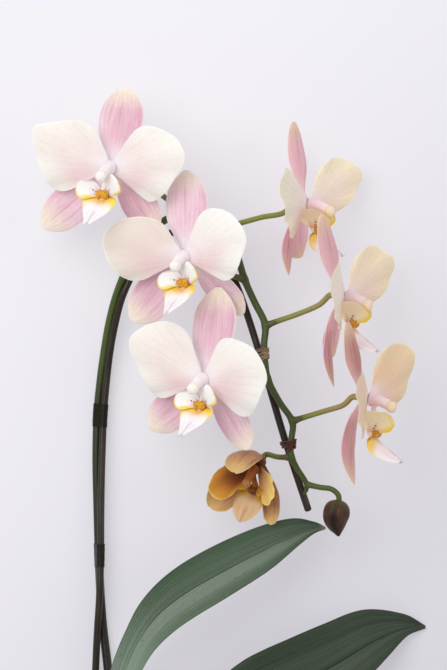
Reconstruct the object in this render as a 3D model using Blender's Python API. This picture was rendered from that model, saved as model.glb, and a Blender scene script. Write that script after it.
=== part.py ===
# Moth orchid stem, laid down: a flower spike with six open blooms, an opening bloom and a
# bud, the support stake it is tied to, and the short leafy base with two leaves.
# Lengths are in millimetres and become metres where a mesh is made. Seen from above, X runs
# to the right and Y to the top of the stem, and the blooms look up and to the sides.

import bmesh
import bpy
import numpy as np
from mathutils import Euler, Matrix, Vector

MM = 0.001
GAP = 0.3  # left between pieces that touch

# Spike, rachis and pedicels
SPIKE_RADII = [(0, 2.5), (0.53, 2.1), (0.9, 1.8), (1, 1.4)]  # at shares of its length
SPIKE_RINGS = 58
PEDICEL_RADIUS = 1.3
PEDICEL_APPROACH = 5.0  # how far behind a bloom its pedicel lines up with it
BRACT_LENGTH = 6.0
BRACT_WIDTH = 4.2
STEM_SIDES = 8

SPIKE_PATH = [
    (-68.0, -171.0, 6.4), (-67.6, -157.0, 4.4), (-67.4, -143.0, 3.8), (-67.7, -132.0, 3.8),
    (-70.4, -108.9, 3.8), (-71.9, -88.0, 3.8), (-72.6, -69.9, 3.8), (-73.4, -44.0, 3.8),
    (-74.0, -16.5, 3.8), (-73.5, 7.7, 3.8), (-72.1, 24.0, 4.2), (-70.1, 39.6, 5.6),
    (-67.1, 57.8, 8.5), (-62.7, 74.8, 12.5), (-56.1, 90.8, 17.5), (-47.9, 104.5, 22.0),
    (-36.9, 115.0, 26.0), (-24.2, 119.3, 29.0), (-12.5, 116.5, 30.5), (-3.6, 108.5, 31.2),
    (3.5, 97.0, 32.0), (8.2, 82.5, 33.5), (13.5, 70.5, 35.5), (19.3, 58.3, 37.5),
    (18.8, 46.5, 39.0), (19.6, 35.0, 40.0), (21.2, 27.0, 40.5), (27.2, 15.5, 41.0),
    (34.3, 4.6, 41.5), (33.8, -5.5, 41.5), (33.6, -13.8, 41.2), (36.8, -21.0, 40.8),
    (42.2, -30.0, 40.0), (40.8, -36.0, 39.0),
]

# Stake: a plain rod that follows the spike over its arch
STAKE_RADIUS = 2.0
STAKE_SIDES = 8
STAKE_PATH = [
    (-76.5, -192.5, 2.35), (-75.6, -165.0, 2.6), (-74.7, -140.0, 4.6), (-73.6, -115.0, 7.4),
    (-72.2, -92.0, 8.7), (-71.6, -69.9, 8.7), (-71.0, -50.0, 8.4), (-70.2, -28.0, 7.3),
    (-69.3, -8.0, 5.2), (-68.7, 7.7, 3.8), (-67.4, 24.0, 4.2), (-65.3, 41.5, 5.2),
    (-62.2, 58.5, 7.4), (-57.6, 75.0, 10.8), (-51.0, 91.5, 15.0), (-41.8, 103.0, 19.0),
    (-30.8, 109.3, 22.0), (-18.7, 109.5, 24.0), (-8.6, 102.0, 25.3), (-0.6, 89.0, 27.0),
    (6.4, 72.6, 29.6), (15.4, 45.1, 33.8), (24.2, 15.1, 35.8), (31.0, -7.7, 36.3),
    (42.9, -43.5, 35.4),
]

# Ties: places along the spike, as Y, and lengths along the rods
BAND_PLACES = {"tie_band_upper": 7.7, "tie_band_lower": -69.9}
BAND_LENGTH = 13.0
BAND_WALL = 0.6
BAND_SIDES = 14
BAND_CLEARANCE = 0.4  # between a band and the rods
RAFFIA_PLACE = 41.3
RAFFIA_LENGTH = 6.5
RAFFIA_WALL = 0.8
WOUND_PLACE = -8.0
WOUND_TURNS = 2.6
WOUND_PITCH = 1.9
WOUND_RADIUS = 0.6
WOUND_CLEARANCE = 0.65

# Leafy base and leaves: midrib points, and how far each side reaches at shares of the length
CROWN_PATH = [(-69.5, -190.5, 8.2), (-68.6, -184.0, 8.4), (-67.4, -177.5, 8.6), (-66.6, -173.0, 8.8)]
CROWN_RADII = [6.9, 7.7, 7.3, 6.2]
CROWN_SIDES = 12
LEAF_THICKNESS = 1.6
LEAF_EDGE_THICKNESS = 0.8
LEAVES = {
    "leaf_1": {
        "midrib": [
            (-66.3, -171.8, 11.6), (-64.6, -160.0, 14.5), (-61.0, -144.0, 19.5),
            (-56.1, -129.0, 24.5), (-49.5, -115.5, 29.0), (-39.6, -102.3, 32.0),
            (-26.0, -91.3, 33.5), (-6.8, -80.0, 33.0), (17.1, -67.6, 30.0),
            (36.5, -58.6, 26.0), (46.0, -55.2, 23.5), (52.8, -54.4, 21.5),
        ],
        "upper": [(0, 5.0), (0.1, 6.3), (0.22, 8.0), (0.33, 9.2), (0.42, 12.0), (0.52, 14.6),
                  (0.63, 15.4), (0.78, 14.0), (0.9, 10.4), (0.96, 4.8), (1, 0.7)],
        "lower": [(0, 5.0), (0.1, 6.3), (0.22, 8.0), (0.33, 10.0), (0.42, 12.4), (0.52, 13.6),
                  (0.63, 13.4), (0.78, 11.0), (0.9, 5.4), (0.96, 2.3), (1, 0.7)],
        "channel": 7.0,
    },
    "leaf_2": {
        "midrib": [
            (-59.7, -176.9, 8.7), (-44.0, -173.0, 9.6), (-22.0, -166.0, 13.5),
            (0.0, -157.8, 17.5), (22.0, -148.5, 20.0), (42.9, -138.6, 20.0),
            (62.0, -128.0, 17.0), (79.8, -117.5, 11.5), (95.7, -111.0, 5.3),
            (108.4, -109.6, 1.17),
        ],
        "upper": [(0, 3.6), (0.1, 6.0), (0.21, 12.0), (0.33, 19.5), (0.46, 25.6), (0.59, 25.6),
                  (0.72, 23.0), (0.83, 19.0), (0.93, 9.2), (0.97, 4.4), (1, 0.8)],
        "lower": [(0, 3.6), (0.1, 5.5), (0.21, 9.5), (0.33, 13.5), (0.46, 16.5), (0.59, 17.5),
                  (0.72, 16.0), (0.83, 11.5), (0.93, 4.4), (0.97, 2.2), (1, 0.8)],
        "channel": 8.0,
    },
}

# Blooms: sizes of one open bloom, in its own frame with +Z out of its face and +Y up
SEPAL_THICKNESS = 0.9
PETAL_THICKNESS = 0.8
SEPAL_HUB_DEPTH = -3.4
SEPAL_OUTLINE = [(0, 0.2), (0.1, 0.3), (0.25, 0.62), (0.42, 0.92), (0.56, 1.0), (0.72, 0.93),
                 (0.86, 0.68), (0.95, 0.38), (1, 0.13)]
LATERAL_OUTLINE = [(0, 0.2), (0.1, 0.3), (0.25, 0.58), (0.42, 0.86), (0.6, 1.0), (0.76, 0.95),
                   (0.89, 0.68), (0.96, 0.4), (1, 0.14)]
# The reach of each petal, left then right, at each angle from its axis, upper edge positive
PETAL_OUTLINES = {
    "bloom_1": (
        [(-48, 0.44), (-44, 0.64), (-36, 0.74), (-24, 0.79), (-10, 0.87), (2, 0.96), (9, 1.0),
         (20, 0.84), (33, 0.7), (46, 0.57), (54, 0.44)],
        [(-50, 0.42), (-48, 0.6), (-37, 0.68), (-24, 0.74), (-10, 0.81), (-2, 0.89), (6, 0.93),
         (17, 0.89), (28, 0.8), (42, 0.69), (52, 0.57), (56, 0.42)],
    ),
    "bloom_2": (
        [(-35, 0.4), (-33, 0.54), (-28, 0.66), (-20, 0.76), (-10, 0.84), (0, 0.91), (10, 0.95),
         (20, 0.9), (37, 0.7), (46, 0.59), (55, 0.46), (60, 0.32)],
        [(-38, 0.48), (-36, 0.65), (-28, 0.74), (-14, 0.83), (1, 0.91), (10, 0.98), (20, 0.97),
         (30, 0.91), (43, 0.83), (56, 0.73), (64, 0.63), (68, 0.48)],
    ),
    "bloom_3": (
        [(-46, 0.4), (-41, 0.58), (-32, 0.65), (-18, 0.72), (-5, 0.82), (4, 0.93), (12, 1.01),
         (23, 0.96), (31, 0.9), (42, 0.81), (51, 0.69), (57, 0.56), (60, 0.42)],
        [(-44, 0.5), (-42, 0.68), (-33, 0.79), (-22, 0.84), (-5, 0.9), (7, 0.95), (16, 0.93),
         (25, 0.89), (35, 0.81), (47, 0.72), (60, 0.65), (71, 0.56), (75, 0.44)],
    ),
    "bloom_4": (
        [(-50, 0.45), (-48, 0.66), (-34, 0.74), (-20, 0.81), (-3, 0.95), (6, 1.08), (13, 1.13),
         (20, 1.1), (25, 0.95), (28, 0.65)],
        [(-36, 0.38), (-30, 0.51), (-20, 0.59), (-9, 0.71), (1, 0.82), (8, 0.92), (14, 0.95),
         (22, 0.91), (32, 0.85), (45, 0.75), (54, 0.62), (61, 0.48), (66, 0.34)],
    ),
    "bloom_5": (
        [(-64, 0.42), (-60, 0.55), (-50, 0.61), (-36, 0.67), (-22, 0.76), (-5, 0.96), (6, 1.12),
         (14, 1.2), (22, 1.14), (28, 0.9), (33, 0.5)],
        [(-38, 0.42), (-31, 0.54), (-20, 0.64), (-9, 0.76), (2, 0.86), (9, 0.95), (16, 0.98),
         (27, 0.93), (40, 0.88), (48, 0.79), (58, 0.6), (66, 0.42)],
    ),
    "bloom_6": (
        [(-62, 0.4), (-56, 0.68), (-46, 0.77), (-36, 0.75), (-20, 0.77), (-5, 0.92), (5, 1.0),
         (13, 1.03), (22, 0.97), (28, 0.75), (34, 0.36)],
        [(-42, 0.42), (-36, 0.6), (-21, 0.67), (-4, 0.77), (8, 0.89), (17, 0.99), (25, 1.01),
         (35, 0.94), (46, 0.82), (56, 0.64), (64, 0.42)],
    ),
    "opening_bloom": (
        [(-47, 0.42), (-43, 0.66), (-34, 0.8), (-20, 0.9), (-5, 0.97), (8, 0.97), (20, 0.86),
         (34, 0.72), (48, 0.56), (57, 0.42)],
        [(-38, 0.42), (-34, 0.54), (-28, 0.68), (-20, 0.8), (-5, 0.93), (10, 1.0), (24, 0.97),
         (38, 0.84), (50, 0.68), (57, 0.45)],
    ),
}
COLUMN_RADIUS = 2.2
PETAL_CLAW = 0.055  # half the root's width, as a share of the length
SIDE_LOBE_REACH = 13.5
SIDE_LOBE_OUTLINE = [(-60, 0.5), (-48, 0.84), (-30, 1.04), (-8, 1.08), (16, 1.02), (34, 0.9),
                     (46, 0.62)]
MIDLOBE_LENGTH = 24.0
MIDLOBE_HALF = 10.4
MIDLOBE_OUTLINE = [(0, 0.42), (0.1, 0.82), (0.2, 1.0), (0.34, 0.93), (0.55, 0.7), (0.78, 0.42),
                   (1, 0.16)]
ROUND_MIDLOBE_OUTLINE = [(0, 0.5), (0.14, 0.86), (0.35, 1.0), (0.6, 0.94), (0.8, 0.74), (0.93, 0.46),
                         (1, 0.2)]
LIP_PIVOT = 12.0  # how far out of the face the upright is that a skewed lip turns about

# Each tepal: angle round the face from straight up, clockwise; sweep out of the face; length;
# width; and how far it curls forward. Petals have no width of their own, and may end with their
# cup. A lip has its size, how far it lies to the right and down, and its skew to the right. Left
# and right are the viewer's. A bloom's turn is its yaw to the right, its pitch down and its roll
# to the left.
OPEN_BLOOMS = {
    "bloom_1": {
        "hub": (-66.0, 144.5, 47.0), "turn": (-19, 6, -5),
        "sepals": [(0.6, -15, 45.3, 27, -8), (-133.5, -3, 54, 24, 4), (144, -10, 43, 21, 4)],
        "petals": [(-77, 9, 49, -14), (82, 3, 47, -14)], "lip": (1.0, -2.0, 0.6, -8),
    },
    "bloom_2": {
        "hub": (-25.3, 95.3, 55.0), "turn": (-21, 6, 3),
        "sepals": [(-2.4, -14, 48.6, 26, -8), (-133, -5, 50.2, 25, 4), (143, -15, 45, 17, 0)],
        "petals": [(-83, 15, 49.5, -14), (87, 15, 42, -14)], "lip": (1.0, -0.6, 0.0, -16),
    },
    "bloom_3": {
        "hub": (-14.8, 28.0, 64.0), "turn": (-23, 6, -4),
        "sepals": [(-0.4, -14, 51.5, 26.5, -8), (-132, -5, 45.6, 23, 4), (147, -8, 45.6, 18.5, 4)],
        "petals": [(-76, 15, 46.5, -14), (89, 15, 43, -14)], "lip": (1.0, 0.4, -0.4, -12),
    },
    "bloom_4": {
        "hub": (43.5, 125.0, 29.7), "turn": (55, 4, 7),
        "sepals": [(7, -8.7, 45.3, 17, -8), (-148, -12, 45, 11, 40), (155, -27, 38, 25, 18)],
        "petals": [(-79, 14, 43, 0, 0), (81, 22, 40, 0)], "lip": (0.9, 0.0, 1.5, 0),
    },
    "bloom_5": {
        "hub": (63.3, 73.4, 49.0), "turn": (62, 4, 0),
        "sepals": [(-15, -6, 46.6, 20, -8), (-168, -13, 52, 11, 40), (157, -18, 38, 21, 10)],
        "petals": [(-86, 17, 41, 0, 11), (69, 24, 38.6, 0)], "lip": (0.9, 0.5, 2.0, 0),
    },
    "bloom_6": {
        "hub": (75.9, 17.5, 59.0), "turn": (66, 4, 0),
        "sepals": [(-21, -3, 44.5, 18.5, -8), (-166, -15, 50, 20, 40), (168, -25, 38, 16, 30)],
        "petals": [(-88, 14, 41, 0, 8), (65, 24, 39.5, 0)], "lip": (0.93, -1.0, 6.0, 0),
    },
}
OPENING_BLOOM = {
    "hub": (15.5, -19.0, 38.0), "turn": (-36, 34, -14),
    "sepals": [(0.5, 12, 36, 20, 118), (-134, 10, 40.5, 19, 55), (152, 6, 37, 15.5, 54)],
    "petals": [(-102, 36, 34, 48, 22), (124, 46, 28, 0, -16)], "lip": (0.8, -1.6, 1.2, -8),
}
OPENING_LIFT = 2.5  # how much further out its column and lip stand
# Pedicels leave the spike at the first point and end behind their bloom
PEDICEL_WAYS = {
    "bloom_1": [(-24.8, 119.9, 28.5), (-33.0, 126.0, 31.5), (-50.0, 138.0, 35.5)],
    "bloom_2": [(8.2, 82.5, 33.5), (-2.8, 86.5, 38.0), (-15.0, 92.0, 43.5)],
    "bloom_3": [(21.2, 28.6, 40.4), (10.5, 29.5, 44.5), (-3.5, 29.3, 51.0)],
    "bloom_4": [(-5.5, 110.5, 31.0), (5.5, 113.9, 31.4), (17.6, 117.2, 31.0), (29.2, 119.5, 29.6)],
    "bloom_5": [(19.3, 57.8, 37.6), (26.0, 59.8, 38.6), (38.0, 64.0, 40.6), (49.0, 68.8, 42.6)],
    "bloom_6": [(34.3, 4.8, 41.5), (41.0, 7.0, 43.6), (52.0, 10.4, 48.0), (62.0, 13.6, 52.6)],
    "opening_bloom": [(33.4, -14.8, 41.2), (26.5, -15.0, 37.2)],
}
BUD_PEDICEL = [(42.2, -30.0, 40.0), (49.5, -31.6, 40.4), (55.5, -32.5, 40.8), (59.4, -35.5, 41.0),
               (60.2, -39.6, 40.6)]
BUD_CENTRE = (58.4, -48.4, 40.1)
BUD_TIP = (59.8, -58.6, 39.6)
BUD_RADIUS = 7.4


def spline(points, count):
    """Points at even steps along a smooth curve through the given ones."""
    p = np.array(points, float)
    p = np.vstack([2 * p[0] - p[1], p, 2 * p[-1] - p[-2]])
    t = np.linspace(0, 1, 12, endpoint=False)[:, None]
    dense = [
        0.5 * (2 * b + (c - a) * t + (2 * a - 5 * b + 4 * c - d) * t**2
               + (3 * b - a - 3 * c + d) * t**3)
        for a, b, c, d in zip(p[:-3], p[1:-2], p[2:-1], p[3:])
    ]
    dense = np.vstack(dense + [p[-2:-1]])
    run = np.concatenate([[0], np.cumsum(np.linalg.norm(np.diff(dense, axis=0), axis=1))])
    steps = np.linspace(0, run[-1], count)
    return np.stack([np.interp(steps, run, dense[:, k]) for k in range(p.shape[1])], 1)


def profile(knots, t):
    """A value that passes smoothly through the (position, value) knots."""
    curve = spline(knots, 80)
    return np.interp(t, curve[:, 0], curve[:, 1])


def unit(v):
    return v / np.linalg.norm(v, axis=-1, keepdims=True)


def solid(name, points, faces):
    """An object from closed faces, with its normals turned out."""
    mesh = bpy.data.meshes.new(name)
    mesh.from_pydata([tuple(p * MM) for p in points], [], faces)
    bm = bmesh.new()
    bm.from_mesh(mesh)
    bmesh.ops.recalc_face_normals(bm, faces=bm.faces)
    bm.to_mesh(mesh)
    bm.free()
    obj = bpy.data.objects.new(name, mesh)
    bpy.context.collection.objects.link(obj)
    return obj


def blade(name, middle, thickness):
    """A thin closed leaf round a grid of points, split into triangles alike on both faces."""
    rows, cols = middle.shape[:2]
    normal = unit(np.cross(np.gradient(middle, axis=0), np.gradient(middle, axis=1)))
    offset = normal * np.broadcast_to(thickness, (rows, cols))[..., None] / 2
    points = np.concatenate([(middle + offset).reshape(-1, 3), (middle - offset).reshape(-1, 3)])
    back = rows * cols
    faces = []
    for i in range(rows - 1):
        for j in range(cols - 1):
            a, b = i * cols + j, (i + 1) * cols + j
            faces += [(a, b, b + 1), (a, b + 1, a + 1)]
            faces += [(a + back, b + 1 + back, b + back), (a + back, a + 1 + back, b + 1 + back)]
    edge = list(range(cols)) + [i * cols + cols - 1 for i in range(1, rows)]
    edge += [back - 1 - j for j in range(1, cols)] + [i * cols for i in range(rows - 2, 0, -1)]
    for a, b in zip(edge, edge[1:] + edge[:1]):
        faces += [(a, b, b + back), (a, b + back, a + back)]
    return solid(name, points, faces)


def rings_along(path, radii, sides):
    """Rings of points square to a path, with no twist between them."""
    path = np.array(path, float)
    tangent = unit(np.gradient(path, axis=0))
    side = unit(np.cross(tangent[0], (0.3, 0.2, 1.0)))
    angle = np.linspace(0, 2 * np.pi, sides, endpoint=False)[:, None]
    rings = []
    for centre, forward, radius in zip(path, tangent, np.broadcast_to(radii, len(path))):
        side = unit(side - forward * side.dot(forward))
        up = np.cross(forward, side)
        rings.append(centre + radius * (np.cos(angle) * side + np.sin(angle) * up))
    return rings


def tube(name, path, radii, sides):
    """A closed rod along a path."""
    rings = rings_along(path, radii, sides)
    faces = [list(range(sides)), [(len(rings) - 1) * sides + k for k in range(sides)]]
    for i in range(len(rings) - 1):
        for k in range(sides):
            a, b = i * sides + k, i * sides + (k + 1) % sides
            faces.append((a, b, b + sides, a + sides))
    return solid(name, np.vstack(rings), faces)


def ball(name, centre, radii, segments=8, rings=4):
    """A low ellipsoid, the hub that blades are rooted in."""
    mesh = bpy.data.meshes.new(name)
    bm = bmesh.new()
    place = Matrix.Translation(Vector(centre) * MM) @ Matrix.Diagonal((*(r * MM for r in radii), 1))
    bmesh.ops.create_uvsphere(bm, u_segments=segments, v_segments=rings, radius=1, matrix=place)
    bm.to_mesh(mesh)
    bm.free()
    obj = bpy.data.objects.new(name, mesh)
    bpy.context.collection.objects.link(obj)
    return obj


def fused(name, pieces):
    """One body from pieces that are sunk into each other."""
    body, *others = pieces
    group = bpy.data.collections.new(name + "_pieces")
    for piece in others:
        group.objects.link(piece)
    join = body.modifiers.new("join", "BOOLEAN")
    join.operation = "UNION"
    join.solver = "EXACT"
    join.operand_type = "COLLECTION"
    join.collection = group
    view = bpy.context.evaluated_depsgraph_get()
    mesh = bpy.data.meshes.new_from_object(body.evaluated_get(view))
    for piece in pieces:
        bpy.data.objects.remove(piece)
    bpy.data.collections.remove(group)
    mesh.name = name
    obj = bpy.data.objects.new(name, mesh)
    bpy.context.collection.objects.link(obj)
    return obj


def finish(obj, colour, roughness, parent=None):
    """Gives a piece its name, its own material and smooth shading."""
    material = bpy.data.materials.new(obj.name)
    material.use_nodes = True
    shader = material.node_tree.nodes["Principled BSDF"]
    shader.inputs["Base Color"].default_value = (*colour, 1)
    shader.inputs["Roughness"].default_value = roughness
    shader.inputs["Metallic"].default_value = 0
    obj.data.materials.clear()
    obj.data.materials.append(material)
    obj.data.shade_smooth()
    obj.data.set_sharp_from_angle(angle=np.radians(50))
    obj.parent = parent
    return obj


def bent(distance, length, bend):
    """How far out and how far forward a blade gets when it curls evenly by an angle."""
    turn = np.radians(bend if abs(bend) > 0.5 else 0.5)
    t = distance / length * turn
    return length * np.sin(t) / turn, length * (1 - np.cos(t)) / turn


def tepal_axes(angle, sweep):
    """Along, across and out of a tepal that leaves the hub at an angle."""
    a, s = np.radians((angle, sweep))
    along = np.array((np.sin(a) * np.cos(s), np.cos(a) * np.cos(s), np.sin(s)))
    across = np.array((np.cos(a), -np.sin(a), 0.0))
    out = np.array((-np.sin(a) * np.sin(s), -np.cos(a) * np.sin(s), np.cos(s)))
    return along, across, out


def sepal(name, angle, sweep, length, width, bend, outline, cup=-22, start=1.2, rows=5,
          cols=4):
    """A strip that widens from a narrow root and closes to a blunt tip."""
    t = np.sin(np.linspace(0, np.pi / 2, rows + 1)) ** 1.15
    half = width / 2 * profile(outline, t)[:, None]
    curl = np.radians(cup)
    v = np.linspace(-1, 1, cols + 1)[None, :]
    out_along, forward = bent(t * (length - start), length, bend)
    along, across, out = tepal_axes(angle, sweep)
    x = (start + out_along)[:, None] + 0 * v
    y = half * np.sin(curl * v) / curl
    z = forward[:, None] + half * (1 - np.cos(curl * v)) / curl
    grid = x[..., None] * along + y[..., None] * across + z[..., None] * out
    return blade(name, grid + np.array((0, 0, SEPAL_HUB_DEPTH)), SEPAL_THICKNESS)


def fan(name, root, along, across, out, length, outline, claw, bend, cup, thickness, rows=3,
        cols=8, ripple=0.0, spread=1.0):
    """A blade that spreads like a fan, its reach set for each angle from its axis."""
    low, high = outline[0][0], outline[-1][0]
    v = -np.cos(np.linspace(0, np.pi, cols + 1))
    degrees = (low + high) / 2 + (high - low) / 2 * v
    reach = length * profile(outline, degrees)
    u = np.linspace(0, 1, rows + 1)[:, None]
    distance = u * reach[None, :]
    flat, forward = bent(distance, length, bend)
    theta = np.radians(degrees * spread)[None, :]
    x = flat * np.cos(theta)
    y = flat * np.sin(theta) + claw * v[None, :] * (1 - u) ** 1.5
    z = forward + np.sin(np.radians(cup)) * y**2 / length
    z = z + ripple * length * u**3 * np.sin(3.2 * np.pi * v[None, :] + 0.6)
    grid = x[..., None] * along + y[..., None] * across + z[..., None] * out
    return blade(name, np.array(root) + grid, thickness)


def petal(name, outline, angle, sweep, length, bend, cup=-16, **shape):
    """A broad rounded petal."""
    along, across, out = tepal_axes(angle, sweep)
    upward = across if angle < 0 else -across
    return fan(name, 1.0 * along, along, upward, out, length - 1.0, outline,
               PETAL_CLAW * length, bend, cup, PETAL_THICKNESS, ripple=0.02, **shape)


def sepals(name, flower, **shape):
    """The outer whorl: one sepal up and two that slant down, on one hub."""
    pieces = [ball(name, (0, 0, SEPAL_HUB_DEPTH), (3.2, 3.2, 1.5))]
    for spec, outline in zip(flower["sepals"], (SEPAL_OUTLINE, LATERAL_OUTLINE, LATERAL_OUTLINE)):
        pieces.append(sepal("sepal", *spec, outline, **shape))
    return fused(name, pieces)


def petals(name, flower, outlines, **shape):
    """The two broad petals, on one hub in front of the sepals."""
    pieces = [ball(name, (0, 0, 0), (3.2, 3.2, 1.4))]
    for outline, spec in zip(outlines, flower["petals"]):
        pieces.append(petal("petal", outline, *spec, **shape))
    return fused(name, pieces)


def column(name, size=1.0):
    """The pale rod in the middle of the face, with the rounded cap at its end."""
    path = np.array([(0, -0.1, 1.8), (0, -0.6, 5.5), (0, -1.7, 9.5), (0, -3.0, 12.6),
                     (0, -3.9, 14.4), (0, -4.7, 16.0), (0, -5.1, 17.0)])
    radii = np.array([COLUMN_RADIUS, COLUMN_RADIUS, 2.3, 2.6, 3.1, 2.5, 1.1])
    return tube(name, path * size, radii * size, 8)


def lip(name, size, right, down, skew, splay=0.8, fullness=1.0, outline=MIDLOBE_OUTLINE,
        spread=1.0, column_size=1.0):
    """Two side lobes, the callus between them, and the middle lobe with its two curls."""
    pivot = np.array((0, 0, LIP_PIVOT))
    shift = np.array((right, -down, 0))
    turn = np.array(Euler((0, np.radians(skew), 0)).to_matrix())

    def placed(point):
        return (np.array(point) * size - pivot) @ turn.T + pivot + shift

    foot = (0, -(COLUMN_RADIUS + 0.6) * column_size - GAP, 3.9 * column_size)
    claw = placed([(0, -9.4, 3.6), (0, -14.0, 4.2), (0, -17.4, 7.6)])
    pieces = [tube(name, [foot, *claw], np.array([1.4, 1.7, 2.9, 1.5]) * size, 6)]
    for side in (-1, 1):
        along = unit(np.array((side * splay, 0.42, 0.42)))
        across = np.array((0.0, -0.6, 0.8))
        across = unit(across - along * across.dot(along))
        inward = unit(np.array((-side * 0.75, 0.5, 0.4)))
        inward = unit(inward - along * inward.dot(along) - across * inward.dot(across))
        pieces.append(fan("side_lobe", placed((side * 1.6, -14.5, 4.4)), along @ turn.T,
                          across @ turn.T, inward @ turn.T, SIDE_LOBE_REACH * size,
                          SIDE_LOBE_OUTLINE, 1.6 * size, 30, 10, 0.8, cols=4, spread=fullness))
    middle = placed(midlobe(outline, spread))
    pieces.append(blade("midlobe", middle, 0.9 * size + 0.1))
    tip = middle[-1, 2]
    for side in (-1, 1):
        curl = np.array([(side * 0.4, 1.8, -1.6), (side * 1.6, -0.8, 1.0), (side * 3.0, 0.4, 2.2)])
        pieces.append(tube("curl", tip + curl @ turn.T * size, np.array([0.8, 0.7, 0.4]) * size, 4))
    return fused(name, pieces)


def midlobe(outline, spread):
    """Points of the middle lobe, which runs forward and down from the callus."""
    root = np.array((0, -15.2, 4.8))
    along = unit(np.array((0, -0.632, 0.775)))
    out = np.array((0, along[2], -along[1]))
    across = np.array((1.0, 0, 0))
    t = np.array((0, 0.1, 0.2, 0.38, 0.68, 1))
    v = np.linspace(-1, 1, 5)[None, :]
    width = MIDLOBE_HALF * spread * profile(outline, t)[:, None]
    x, z = bent(t * MIDLOBE_LENGTH, MIDLOBE_LENGTH, 8)
    lift = 0.22 * width * v**2 - 1.6 * np.exp(-((t[:, None] - 0.5) / 0.35) ** 2) * v**2
    grid = x[:, None, None] * along + (width * v)[..., None] * across
    return root + grid + (z[:, None] + lift)[..., None] * out


def bloom_frame(name, flower):
    """An empty at the hub, turned the way the bloom looks: yaw, then pitch, then roll."""
    frame = bpy.data.objects.new(name, None)
    yaw, pitch, roll = np.radians(flower["turn"])
    turn = Euler((0, yaw, 0)).to_matrix() @ Euler((pitch, 0, 0)).to_matrix()
    turn = turn @ Euler((0, 0, roll)).to_matrix()
    frame.matrix_world = Matrix.Translation(Vector(flower["hub"]) * MM) @ turn.to_4x4()
    bpy.context.collection.objects.link(frame)
    return frame


def hub_back(flower):
    """The place behind the sepals where the pedicel ends, and the way the bloom looks."""
    yaw, pitch, _ = np.radians(flower["turn"])
    look = np.array((np.sin(yaw) * np.cos(pitch), -np.sin(pitch), np.cos(yaw) * np.cos(pitch)))
    return np.array(flower["hub"]) + (SEPAL_HUB_DEPTH - 1.5 - GAP) * look, look


def open_bloom(name, flower, petal_colour, sepal_colour):
    frame = bloom_frame(name, flower)
    finish(sepals(name + "_sepals", flower), sepal_colour, 0.55, frame)
    finish(petals(name + "_petals", flower, PETAL_OUTLINES[name]), petal_colour, 0.5, frame)
    finish(lip(name + "_lip", *flower["lip"]), (0.93, 0.72, 0.25), 0.45, frame)
    finish(column(name + "_column"), (0.93, 0.86, 0.82), 0.4, frame)
    return frame


def opening_bloom():
    name, flower = "opening_bloom", OPENING_BLOOM
    frame = bloom_frame(name, flower)
    finish(sepals(name + "_sepals", flower, cup=48), (0.62, 0.36, 0.2), 0.5, frame)
    outlines = PETAL_OUTLINES[name]
    finish(petals(name + "_petals", flower, outlines, spread=0.66, rows=4, cols=6),
           (0.78, 0.55, 0.22), 0.5, frame)
    size = flower["lip"][0]
    tongue = lip(name + "_lip", *flower["lip"], 0.4, 0.55, ROUND_MIDLOBE_OUTLINE, 1.1, size)
    finish(tongue, (0.85, 0.6, 0.2), 0.45, frame)
    finish(column(name + "_column", size), (0.72, 0.45, 0.28), 0.45, frame)
    for piece in frame.children:
        if piece.name.endswith(("_lip", "_column")):
            piece.data.transform(Matrix.Translation((0, 0, OPENING_LIFT * MM)))
    return frame


def bract(name, root, along, out):
    """A small scale that clasps the foot of a pedicel."""
    t = np.linspace(0, 1, 4)[:, None]
    v = np.linspace(-1, 1, 3)[None, :]
    half = BRACT_WIDTH / 2 * (1 - t) ** 0.6 + 0.3
    across = unit(np.cross(along, out))
    lift = 1.2 - 1.1 * (half * v) ** 2 / BRACT_WIDTH
    grid = (t * BRACT_LENGTH + 0 * v)[..., None] * along + (half * v)[..., None] * across
    return blade(name, root + grid + lift[..., None] * out, 0.8)


def spike_radii(count):
    """Radii at even steps along the spike."""
    return profile(SPIKE_RADII, np.linspace(0, 1, count))


def flower_stem():
    """Spike, rachis, pedicels and bracts, which grew as one piece."""
    path = spline(SPIKE_PATH, SPIKE_RINGS)
    pieces = [tube("flower_stem", path, spike_radii(SPIKE_RINGS), STEM_SIDES)]
    flowers = dict(OPEN_BLOOMS, opening_bloom=OPENING_BLOOM)
    for name, flower in flowers.items():
        node, *way = np.array(PEDICEL_WAYS[name])
        root = path[np.linalg.norm(path - node, axis=1).argmin()]
        end, look = hub_back(flower)
        way = [root, *way, end - PEDICEL_APPROACH * look, end]
        pedicel = spline(way, 8)
        pieces.append(tube("pedicel", pedicel, [PEDICEL_RADIUS] * 7 + [PEDICEL_RADIUS * 1.15], 6))
        along = unit(pedicel[1] - pedicel[0])
        out = unit(np.array((0, 0, 1.0)) - along * along[2])
        pieces.append(bract("bract", root + 1.0 * along, along, out))
    pieces.append(tube("pedicel", spline(BUD_PEDICEL, 8), PEDICEL_RADIUS, 6))
    return fused("flower_stem", pieces)


def stake():
    path = spline(STAKE_PATH, 38)
    tip = unit(path[-1] - path[-2])
    path = np.vstack([path, path[-1] + tip * 0.9, path[-1] + tip * 1.5])
    radii = [STAKE_RADIUS] * (len(path) - 2) + [STAKE_RADIUS * 0.8, STAKE_RADIUS * 0.4]
    return tube("stake", path, radii, STAKE_SIDES)


def rods_at(place, right):
    """The way both rods run near a Y, on the arch's left or right leg, and a cut square to it."""
    count = 900
    legs, centres, ways = [], [], []
    for points, radii in ((SPIKE_PATH, spike_radii(count)), (STAKE_PATH, [STAKE_RADIUS] * count)):
        path = np.column_stack([spline(points, count), radii])
        top = path[:, 1].argmax()
        leg = path[top:] if right else path[:top]
        k = np.abs(leg[:, 1] - place).argmin()
        legs.append(leg)
        centres.append(leg[k, :3])
        ways.append(unit(leg[k + 9, :3] - leg[k - 9, :3]))
    middle = (centres[0] + centres[1]) / 2
    way = unit(ways[0] + ways[1])

    def cut(station):
        at = middle + way * station
        return [leg[np.abs((leg[:, :3] - at) @ way).argmin()] for leg in legs]

    return way, cut


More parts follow.
